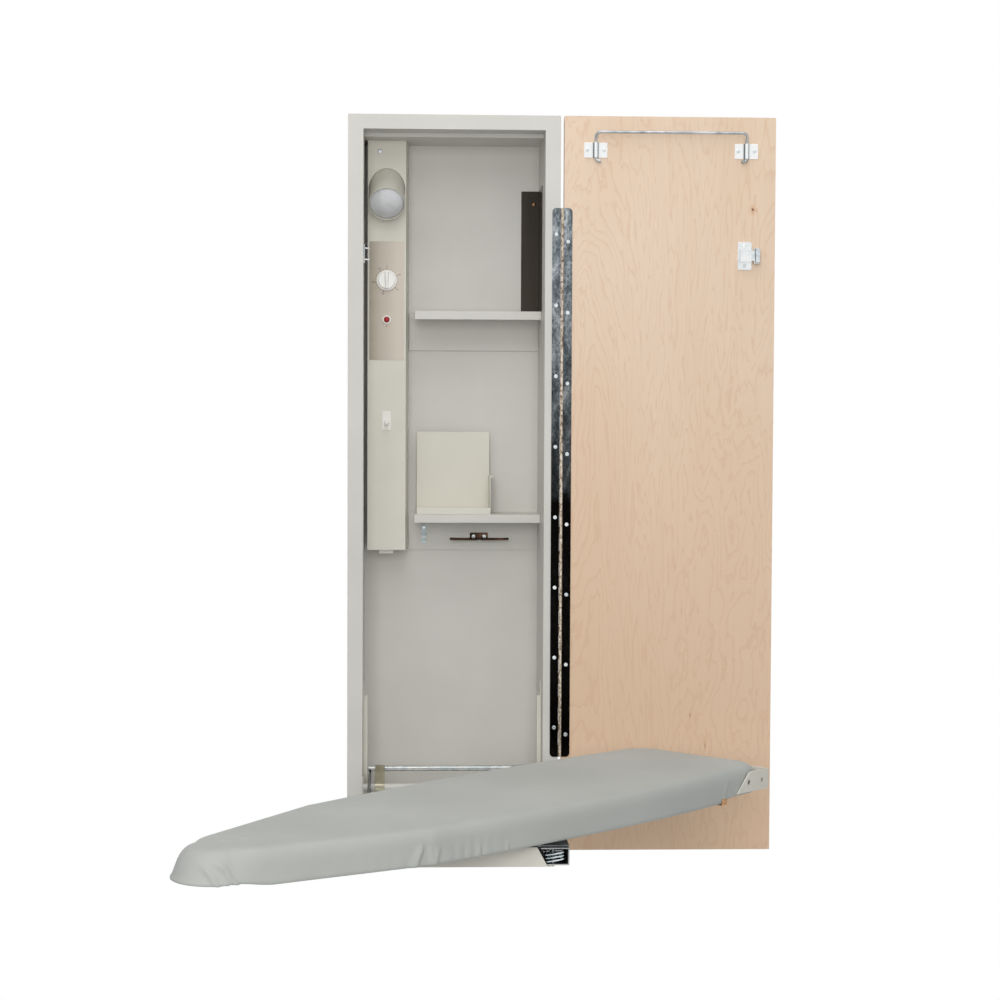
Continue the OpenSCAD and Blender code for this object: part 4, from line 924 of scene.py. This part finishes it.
plate_mid, saddle_r = -0.75, 3.3
brackets = []
for x in legs:
    round_wire = [math.radians(a) for a in range(180, -1, -20)]
    saddle = [(x + saddle_r * math.cos(a), in_y - saddle_r * math.sin(a)) for a in round_wire]
    profile = ([(x - 21, plate_mid), (x - 4.2, plate_mid)] + saddle +
               [(x + 4.2, plate_mid), (x + 21, plate_mid)])
    profile = rounded([(px, py, 0) for px, py in profile], 0.9, 3)
    brackets.append(strip("bracket", [(p.x, p.y) for p in profile], bracket_z - 13.5,
                          bracket_z + 13.5, 1.4, 0.35))
dress(join("rail_brackets_bent", *brackets), "door", slot_of["rail_brackets"], "rail_brackets",
      look="saddle_zinc")
print(len(brackets), "brackets, bent round the wire")

# %% [markdown]
# ## A lathe
#
# Round pieces are turned. A line of radius and distance pairs is built point by point, and the
# spin operator turns it round an axis at any place and angle. The line starts and ends on the
# axis, where merging the doubles closes the shape.

# %% A lathe
def lathe(name, start, direction, profile, steps=72):
    """Spins a line of (radius, along) pairs round an axis that starts at a place."""
    axis = Vector(direction).normalized()
    across = axis.orthogonal().normalized()
    base = at(*start)
    none()
    bpy.ops.mesh.primitive_plane_add(size=1, location=(0, 0, 0))
    piece = bpy.context.active_object
    bpy.ops.object.mode_set(mode="EDIT")
    mesh = bmesh.from_edit_mesh(piece.data)
    bmesh.ops.delete(mesh, geom=list(mesh.verts)[1:], context="VERTS")
    mesh.verts.ensure_lookup_table()
    points = [base + axis * along * MM + across * radius * MM for radius, along in profile]
    mesh.verts[0].co = points[0]
    bmesh.update_edit_mesh(piece.data)
    bpy.ops.mesh.select_all(action="SELECT")
    for before, after in zip(points, points[1:]):
        bpy.ops.mesh.extrude_vertices_move(TRANSFORM_OT_translate={"value": after - before})
    bpy.ops.mesh.select_all(action="SELECT")
    bpy.ops.mesh.spin(steps=steps, angle=math.radians(360), center=base, axis=axis)
    bpy.ops.mesh.select_all(action="SELECT")
    bpy.ops.mesh.remove_doubles(threshold=0.000005)
    bpy.ops.mesh.normals_make_consistent(inside=False)
    leave()
    settle(name)
    bpy.ops.object.shade_smooth_by_angle(angle=math.radians(38))
    return piece


print("lathe ready")

# %% [markdown]
# ## Timer knob
#
# The knob is a disc with a finger ridge across it. The ridge could be extruded from the disc's
# front, but its edges would run into the round rim. So the disc is turned, and the ridge is a
# block, wider at its upper end and narrower at its front, with its edges well rounded.

# %% Knob
knob_x, knob_z = channel_mid, 1035.5
knob = lathe("timer_knob_turned", (knob_x, 114.6, knob_z), (0, -1, 0),
             [(3.0, 0), (18.2, 0), (18.9, 0.5), (19, 1.4), (18.6, 2.8), (17.6, 3.3), (16.4, 3.3),
              (15.7, 3.8), (15.3, 6.6), (14.6, 7.4), (0, 7.6)], 96)
ridge = block("ridge", (knob_x - 4.6, 102.5, knob_z - 16.2), (knob_x + 4.6, 107.6, knob_z + 15.8))
choose(ridge, "VERT", lambda p, n: p.z < at(0, 0, knob_z).z)
bpy.ops.transform.resize(value=(0.68, 1, 1), center_override=at(knob_x, 105, knob_z - 16.2))
leave()
choose(ridge, "FACE", lambda p, n: n.y < -0.9)
bpy.ops.transform.resize(value=(0.66, 1, 0.96), center_override=at(knob_x, 102.5, knob_z))
leave()
ease(ridge, 1.5, 4)
knob = join("timer_knob_turned", knob, ridge)
dress(knob, body_of["timer_knob"], slot_of["timer_knob"], "timer_knob", look="knob_plastic")
print("knob", len(knob.data.polygons), "faces")

# %% [markdown]
# ## Dial marks
#
# The dial round the knob is printed: a dark red dot and a number for each ten minutes and
# three finer dots between. An image on the foil would blur up close, so every mark is a mesh,
# and a text object gives the numbers. They are raised by a few hundredths, as ink on foil is.

# %% Dots and numbers
print_back, print_front = 115.42, 115.34
marks = []
for step in range(22):
    angle = math.radians(step * 360 / 22)
    major = step % 4 == 0 and step < 21
    x, z = knob_x + 20.8 * math.sin(angle), knob_z + 20.8 * math.cos(angle)
    dot = rod("dot", (x, print_back, z), (x, print_front, z), 0.95 if major else 0.5, 20)
    marks.append(dot)
    if major:
        none()
        bpy.ops.object.text_add()
        letters = bpy.context.active_object
        letters.data.body = str(step // 4 * 10)
        letters.data.align_x, letters.data.align_y = "CENTER", "CENTER"
        letters.data.size = 4.4 * MM
        letters.data.extrude = 0.04 * MM
        bpy.ops.object.convert(target="MESH")
        letters = bpy.context.active_object
        letters.rotation_euler = (math.radians(90), 0, 0)
        letters.location = at(knob_x + 25.3 * math.sin(angle), (print_back + print_front) / 2,
                              knob_z + 25.3 * math.cos(angle))
        marks.append(settle("number"))
light_dot = rod("dot", (knob_x, print_back, 951.3), (knob_x, print_front, 951.3), 0.9, 20)
dial_marks = join("dial_marks", *marks, light_dot)
dress(dial_marks, "cabinet", None, look="dial_ink")
print(len(marks) + 1, "dial marks")

# %% [markdown]
# ## Pilot lens, plunger and rivet
#
# The pilot light's lens is a low dome on a barrel, the safety switch's plunger ends in a ball,
# and the heat shield's rivet has a flat button head. A bevelled cylinder would come close to
# the rivet only, so each of the three is a line for the lathe.

# %% Lens, plunger and rivet
lens = lathe("pilot_lens_turned", (knob_x, 117.4, 963.5), (0, -1, 0),
             [(0, 0), (5.2, 0), (5.2, 5.4), (5.0, 6.0), (4.6, 6.7), (3.9, 7.4), (2.9, 8.0),
              (1.6, 8.4), (0, 8.55)], 64)
dress(lens, "cabinet", slot_of["pilot_lens"], "pilot_lens")

ball_r, ball_at = 4.4, 23.2
ball = [(ball_r * math.cos(math.radians(a)), ball_at + ball_r * math.sin(math.radians(a)))
        for a in range(-36, 91, 14)]
stem = lathe("switch_plunger_turned", (channel_mid, 125.2, 773), (0, -1, 0),
             [(0, 0), (3.2, 0), (3.2, 20), (3.4, 20.6)] + ball + [(0, ball_at + ball_r)], 48)
dress(stem, body_of["switch_plunger"], slot_of["switch_plunger"], "switch_plunger")
rivet = lathe("shield_rivet_turned", (154, 198.3, 1184.5), (0, -1, 0),
              [(0, 0), (2, 0), (2, 0.8), (3.6, 0.8), (3.5, 1.3), (2.9, 1.9), (1.8, 2.2),
               (0, 2.3)], 40)
dress(rivet, "cabinet", slot_of["shield_rivet"], "shield_rivet", look="rivet_brass")
print("faces of lens, plunger, rivet", [len(p.data.polygons) for p in (lens, stem, rivet)])

# %% [markdown]
# ## Lamp bulb
#
# A reflector bulb is a shallow dome, a sharp rim, and a bowl that narrows to its cap. It could
# be joined from a sphere and cones, but blown glass has no seam between them. One line is
# spun round the lamp's own axis instead, 32 degrees below level.

# %% Bulb
lamp_tilt = math.radians(58)
lamp_axis = (0, math.sin(lamp_tilt), math.cos(lamp_tilt))
bulb_r, dome_r = 31.3, 52
dome = [(dome_r * math.sin(math.radians(a)), 4.5 + dome_r * (0.799 - math.cos(math.radians(a))))
        for a in range(0, 37, 3)]
bowl = [(bulb_r - 17.3 * math.sin(math.radians(i * 11.25)) ** 2, 10 + i * 6.2) for i in range(9)]
bulb = lathe("reflector_bulb_spun", (channel_mid, 67, 1171), lamp_axis,
             dome + [(bulb_r, 5.6), (bulb_r, 7.5)] + bowl + [(13, 66), (13, 98), (0, 98)], 96)
dress(bulb, "cabinet", slot_of["reflector_bulb"], "reflector_bulb")
print("bulb", len(bulb.data.polygons), "faces")

# %% [markdown]
# ## Cord hook
#
# The cord hook is a small plate with two wires that come forward and turn outward. The wire
# helper makes both, and a ball at the end of each rounds its tip, as a curve's caps are flat.

# %% Hook
hook_mid, hook_z, arm_y = 52.35, 559, 170.5
plate = block("hook_plate", (hook_mid - 16.95, 192.5, hook_z - 7),
              (hook_mid + 16.95, 194.5, hook_z + 7))
ease(plate, 0.8, 2)
arms = [plate]
for side in (-1, 1):
    end = (hook_mid + side * 53, arm_y - 1.3, hook_z - 3.4)
    arms.append(wire("hook_arm", [(hook_mid + side * 3.4, 193.4, hook_z - 4),
                                  (hook_mid + side * 3.4, arm_y, hook_z - 4),
                                  (hook_mid + side * 46, arm_y, hook_z - 4), end], 2.4, 5, 12))
    none()
    bpy.ops.mesh.primitive_uv_sphere_add(segments=20, ring_count=12, radius=2.6 * MM,
                                         location=at(*end))
    tip = settle("tip")
    bpy.ops.object.shade_smooth()
    arms.append(tip)
dress(join("cord_hook_wires", *arms), "cabinet", slot_of["cord_hook"], "cord_hook",
      look="hook_bronze")
print("hook of", len(arms), "parts")

# %% [markdown]
# ## Counterbalance springs
#
# A coil spring could be a circle wound up by a screw modifier. A loop that works out the helix
# is as short, and the same wire helper follows it. At the arm's front end the wire is wound
# three more times round the upright pin, in wide open turns that are flattened to stay inside
# the rail, and the loop can do that as well.

# %% Springs
wire_r, coil_r, coil_pitch, turns, coil_start, coil_z = 1.4, 7.6, 8.0, 27, -670, 130.25
open_turns, open_low, open_rise, pin_y = 3, 122.5, 15.5, -681
coils = []
for side in (-1, 1):
    helix = []
    for i in range(turns * 20 + 1):
        angle = math.radians(i * 18)
        helix.append((side * 136 + coil_r * math.cos(angle), coil_start + coil_pitch * i / 20,
                      coil_z + coil_r * math.sin(angle)))
    coils.append(wire("coil", helix, wire_r, 0, 8))
    loops = []
    for i in range(open_turns * 24 + 1):
        angle = math.radians(i * 15 + 180)
        loops.append((side * 138 + 16 * math.cos(angle), pin_y + 6 * math.sin(angle),
                      open_low + open_rise * i / (open_turns * 24) + 1.6 * math.cos(angle)))
    coils.append(wire("open_turns", loops, wire_r, 0, 8))
springs = join("counter_springs_wound", *coils)
dress(springs, "arm", slot_of["counter_springs"], "counter_springs", look="spring_zinc")
print("springs", len(springs.data.polygons), "faces")

# %% [markdown]
# ## The board's outline
#
# The cover follows the board's outline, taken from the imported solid's own sizes: a heel with
# round corners, a belly, a taper and a blunt nose. The outline is drawn in the board's own
# sizes, x across and s from the heel, and turned to where the board stands afterwards.

# %% The board's width
swivel_s, swivel_y, board_len, nose_len, heel_r = 600, -613, 1150, 45, 50
heel_hw, belly_hw, taper_hw, nose_hw, belly_s, taper_s = 138, 158, 140, 54, 400, 800


def smooth(value):
    value = min(1.0, max(0.0, value))
    return value * value * (3 - 2 * value)


def half_width(s):
    """Half the board's width at a distance from its heel."""
    if s < heel_r:
        return heel_hw - heel_r + math.sqrt(max(0, heel_r ** 2 - (heel_r - s) ** 2))
    if s < belly_s:
        quarter = math.pi / 2 * (s - heel_r) / (belly_s - heel_r)
        return heel_hw + (belly_hw - heel_hw) * math.sin(quarter)
    if s < taper_s:
        quarter = math.pi / 2 * (s - belly_s) / (taper_s - belly_s)
        return belly_hw - (belly_hw - taper_hw) * (1 - math.cos(quarter))
    if s < board_len - nose_len:
        return taper_hw + (nose_hw - taper_hw) * (s - taper_s) / (board_len - nose_len - taper_s)
    return nose_hw * math.sqrt(max(0, 1 - ((s - board_len + nose_len) / nose_len) ** 2))


def on_board(x, s, z):
    """A place in the board's own sizes, turned to where the board stands."""
    y = swivel_s - s
    return ((x + y) / math.sqrt(2), swivel_y + (y - x) / math.sqrt(2), z)


print("the board is", 2 * half_width(belly_s), "mm wide at its belly")

# %% [markdown]
# ## Points round the outline
#
# The outline could be drawn as a curve, but cloth with gathers wants points that are evenly
# spaced. So the outline is first sampled finely, and then walked along in equal steps.

# %% Points round the outline
def outline(count):
    """Points round the board as (x, s), evenly spaced, from the heel's middle and back to it."""
    line = [(x, 0.0) for x in range(0, heel_hw - heel_r, 2)]
    corner = [heel_r * (1 - math.cos(math.radians(a))) for a in range(0, 90, 2)]
    line += [(half_width(s), s) for s in corner]
    line += [(half_width(s), float(s)) for s in range(heel_r, board_len - nose_len, 3)]
    line += [(nose_hw * math.cos(math.radians(a)),
              board_len - nose_len + nose_len * math.sin(math.radians(a)))
             for a in range(0, 91, 2)]
    line += [(-x, s) for x, s in reversed(line[1:-1])]
    line.append(line[0])
    run = [0.0]
    for a, b in zip(line, line[1:]):
        run.append(run[-1] + math.dist(a, b))
    points, k = [], 0
    for i in range(count):
        want = run[-1] * i / count
        while run[k + 1] < want:
            k += 1
        t = (want - run[k]) / (run[k + 1] - run[k])
        points.append((line[k][0] + (line[k + 1][0] - line[k][0]) * t,
                       line[k][1] + (line[k + 1][1] - line[k][1]) * t))
    return points, run[-1]


print("the board is", round(outline(900)[1]), "mm round")

# %% [markdown]
# ## How the cloth leaves the outline
#
# A sewn cover is not an even wall. It leans back over the nose, its hem is drawn up at both
# ends, and cloth that is too long for its edge stands out in gathers and folds. Each is a
# small function of the place, and each gather and fold lies where the picture shows it.

# %% Lean, hem, gathers and folds
def leans(s, z):
    """How far the nose leans back at a height."""
    return 18 * smooth((s - board_len + 95) / 75) * max(0.0, (z - 160) / 48)


def rises(s):
    """How much higher the hem lies near the heel and the nose."""
    return 7 * max(smooth((118 - s) / 12), smooth((s - board_len + 110) / 60))


def drawn_in(x, s, inset):
    """The outline's point moved towards the board's spine."""
    spine = min(board_len - 80, max(150, s))
    away = Vector((x, s - spine))
    return (Vector((0, spine)) + away * max(0.0, 1 - inset / away.length))[:]


# A gather is given by its side, where it begins and ends along the board, the length of its
# waves and their height. A fold is given by its side, its place along the hem and at its upper
# end, the height of that end, and its width and depth.
gathers = [(1, 640, 800, 22, 1.7), (1, 828, 930, 21, 0.9), (-1, 180, 420, 19, 1.3),
           (-1, 560, 900, 16, 1.6), (1, 1040, 1085, 17, 0.5), (-1, 1000, 1150, 15, 1.6),
           (1, 150, 560, 61, 0.4), (1, 0, 60, 12, 0.9), (-1, 0, 90, 14, 1.5)]
folds = [(1, 1091, 1129, 197, 4.6, 5.4), (1, 1119, 1141, 192, 3.8, 4.5),
         (1, 1108, 1118, 168, 2.8, 2.6), (1, 824, 806, 190, 6.5, 4.2),
         (1, 806, 812, 194, 5.5, -2.6), (1, 792, 786, 180, 5.5, 2.2),
         (1, 655, 652, 172, 3.0, 1.7), (1, 712, 709, 176, 3.2, 1.3),
         (1, 119, 102, 196, 4.0, 1.2), (-1, 960, 935, 188, 6.0, 2.4),
         (-1, 250, 262, 184, 6.0, 2.0)]


def swell(x, s, z):
    """How far the cloth stands out from the pan at a place on its skirt."""
    side = 1 if x > 0 else -1
    low = smooth((199 - z) / 42)
    push = 0.3 * math.sin(s / 19) * math.sin(s / 43 + 1) * low
    for which, start, end, wave, height in gathers:
        if which == side:
            window = smooth((s - start) / 22) * smooth((end - s) / 22)
            ripple = math.sin(math.pi * s / wave + 0.9 * math.sin(s / 29))
            uneven = 0.65 + 0.35 * math.sin(s / 23 + 1)
            push += window * uneven * height * low ** 1.4 * (abs(ripple) ** 0.8 - 0.25)
    for which, hem_s, top_s, top_z, width, height in folds:
        if which == side:
            rise = min(1.0, max(0.0, (z - 153) / (top_z - 153)))
            d = (s - hem_s - (top_s - hem_s) * rise ** 1.5) / width
            fade = smooth((top_z - z) / 14)
            push += fade * height * (math.exp(-(d - 1.3) ** 2) - 0.75 * math.exp(-(d * 1.5) ** 2))
    return max(-1.1, push)


print(len(gathers), "rows of gathers and", len(folds), "folds")

# %% [markdown]
# ## The cover's rings
#
# The cover is one piece of cotton pulled over a padded board and drawn in underneath. A circle
# is laid on the outline, and its edge is extruded ring by ring: in under the pan, up the
# skirt, over the padded rim and in to the board's spine. Every point of the circle remembers
# its number on the outline in an integer layer, and an extruded ring inherits it, so each
# ring can be laid down by its inset and height.

# %% A shell from rings
def ringed(name, count, rings, creased):
    """A shell over the board from a circle whose edge is extruded ring by ring to the spine."""
    line = outline(count)[0]
    none()
    bpy.ops.mesh.primitive_circle_add(vertices=count, radius=0.3, fill_type="NOTHING")
    piece = bpy.context.active_object
    bpy.ops.object.mode_set(mode="EDIT")
    bpy.ops.mesh.select_all(action="SELECT")
    mesh = bmesh.from_edit_mesh(piece.data)
    number = mesh.verts.layers.int.new("number")
    for vert in mesh.verts:
        vert[number] = vert.index
    bmesh.update_edit_mesh(piece.data)
    for level, (inset, z) in enumerate(rings):
        if level:
            bpy.ops.mesh.extrude_edges_move(TRANSFORM_OT_translate={"value": (0, 0, 0.0001)})
        mesh = bmesh.from_edit_mesh(piece.data)
        number = mesh.verts.layers.int["number"]
        for vert in mesh.verts:
            if vert.select:
                x, s = line[vert[number]]
                push = swell(x, s, z) if creased and inset < 15 else 0.0
                if inset > 3 and z < 156:
                    push = min(push, 0.5)
                lift = rises(s) * max(0.0, (166 - z) / 14)
                x, s = drawn_in(x, s, inset + leans(s, z) - push)
                vert.co = at(*on_board(x, s, z + lift))
        bmesh.update_edit_mesh(piece.data)
    bpy.ops.mesh.select_all(action="SELECT")
    bpy.ops.mesh.remove_doubles(threshold=0.00003)
    bpy.ops.mesh.normals_make_consistent(inside=False)
    leave()
    return settle(name)


print("a shell of", len(outline(900)[0]), "points round can be laid")

# %% [markdown]
# ## A map for the weave
#
# Threads follow their cloth, so the weave needs a UV map. Unwrapping would spread the gathers
# unevenly. The map is measured from the board's own axes instead, in metres, and so a thread
# is equally wide on the top and on the skirt.

# %% Cloth map
def laid_flat(piece):
    """A UV map in metres: across and along the board on top, round and up on the skirt."""
    layer = piece.data.uv_layers.new(name="cloth")
    centre = at(*on_board(0, 0, 0))
    along = (at(*on_board(0, 100, 0)) - centre).normalized()
    across = (at(*on_board(100, 0, 0)) - centre).normalized()
    for face in piece.data.polygons:
        flat = abs(face.normal.z) > 0.7
        for loop in face.loop_indices:
            place = piece.data.vertices[piece.data.loops[loop].vertex_index].co - centre
            layer.data[loop].uv = (place.dot(along), place.dot(across) if flat else place.z)


print("the cloth's map is measured from", [round(v, 3) for v in at(*on_board(0, 0, 0))])

# %% [markdown]
# ## Cover and pad
#
# The cloth gets its thickness inward, towards the pad, and a UV map in metres for its weave.
# The felt pad under it is a smaller shell of the same kind, without gathers.

# %% Cover and pad
skirt = [(14, 153.4), (6, 152.5), (1.8, 153.2), (0.2, 155.5), (0, 159), (0, 163), (0, 167),
         (0, 171), (0, 175), (0, 179), (0, 183), (0.2, 187), (0.7, 190.5), (1.5, 194),
         (2.9, 197.5), (5, 200.8), (8, 203.4), (12, 205), (18, 206), (28, 206.7), (44, 207.2),
         (76, 207.7), (1000, 208)]
cover = ringed("board_cover_sewn", 900, skirt, True)
laid_flat(cover)
area = sum(face.area for face in cover.data.polygons)
apply(cover, "SOLIDIFY", thickness=1.0 * MM, offset=-1)
only(cover)
bpy.ops.object.shade_smooth()
dress(cover, "board", slot_of["board_cover"], "board_cover")

pad_rings = [(9, 190.5), (4.6, 190.7), (3.6, 192.2), (4.2, 195), (5.6, 198), (7.8, 200.8),
             (11, 203), (16, 204.2), (24, 205), (44, 205.7), (76, 206.2), (1000, 206.5)]
pad = ringed("board_pad_felt", 300, [(1000, 190.45)] + pad_rings, False)
laid_flat(pad)
only(pad)
bpy.ops.object.shade_smooth_by_angle(angle=math.radians(60))
dress(pad, "board", slot_of["board_pad"], "board_pad")
print("cover's cloth", round(area, 3), "square metres")

# %% [markdown]
# ## Heel bracket
#
# The bracket's free edges are rolled inward, which shows as a thin cream rim along its slanted
# end and its top. A wider bevel would only round them off. A wire with rounded corners
# follows those edges on an eased copy, and stands out from it as the roll does.

# %% Heel bracket with its rolled edge
plate_x, rim_z, rim_s = half_width(84) + 1.3, 195.6, -1.6
rolled = wire("heel_bracket_rolled",
              [on_board(plate_x, 84.5, 163.2), on_board(plate_x, 51.5, rim_z),
               on_board(plate_x, rim_s, rim_z), on_board(46, rim_s, rim_z)], 1.25, 7, 10)
bracket = join("heel_bracket_rolled", rolled, eased_copy("heel_bracket", 0.5))
dress(bracket, "board", slot_of["heel_bracket"], "heel_bracket")
print("heel bracket has a rolled edge")
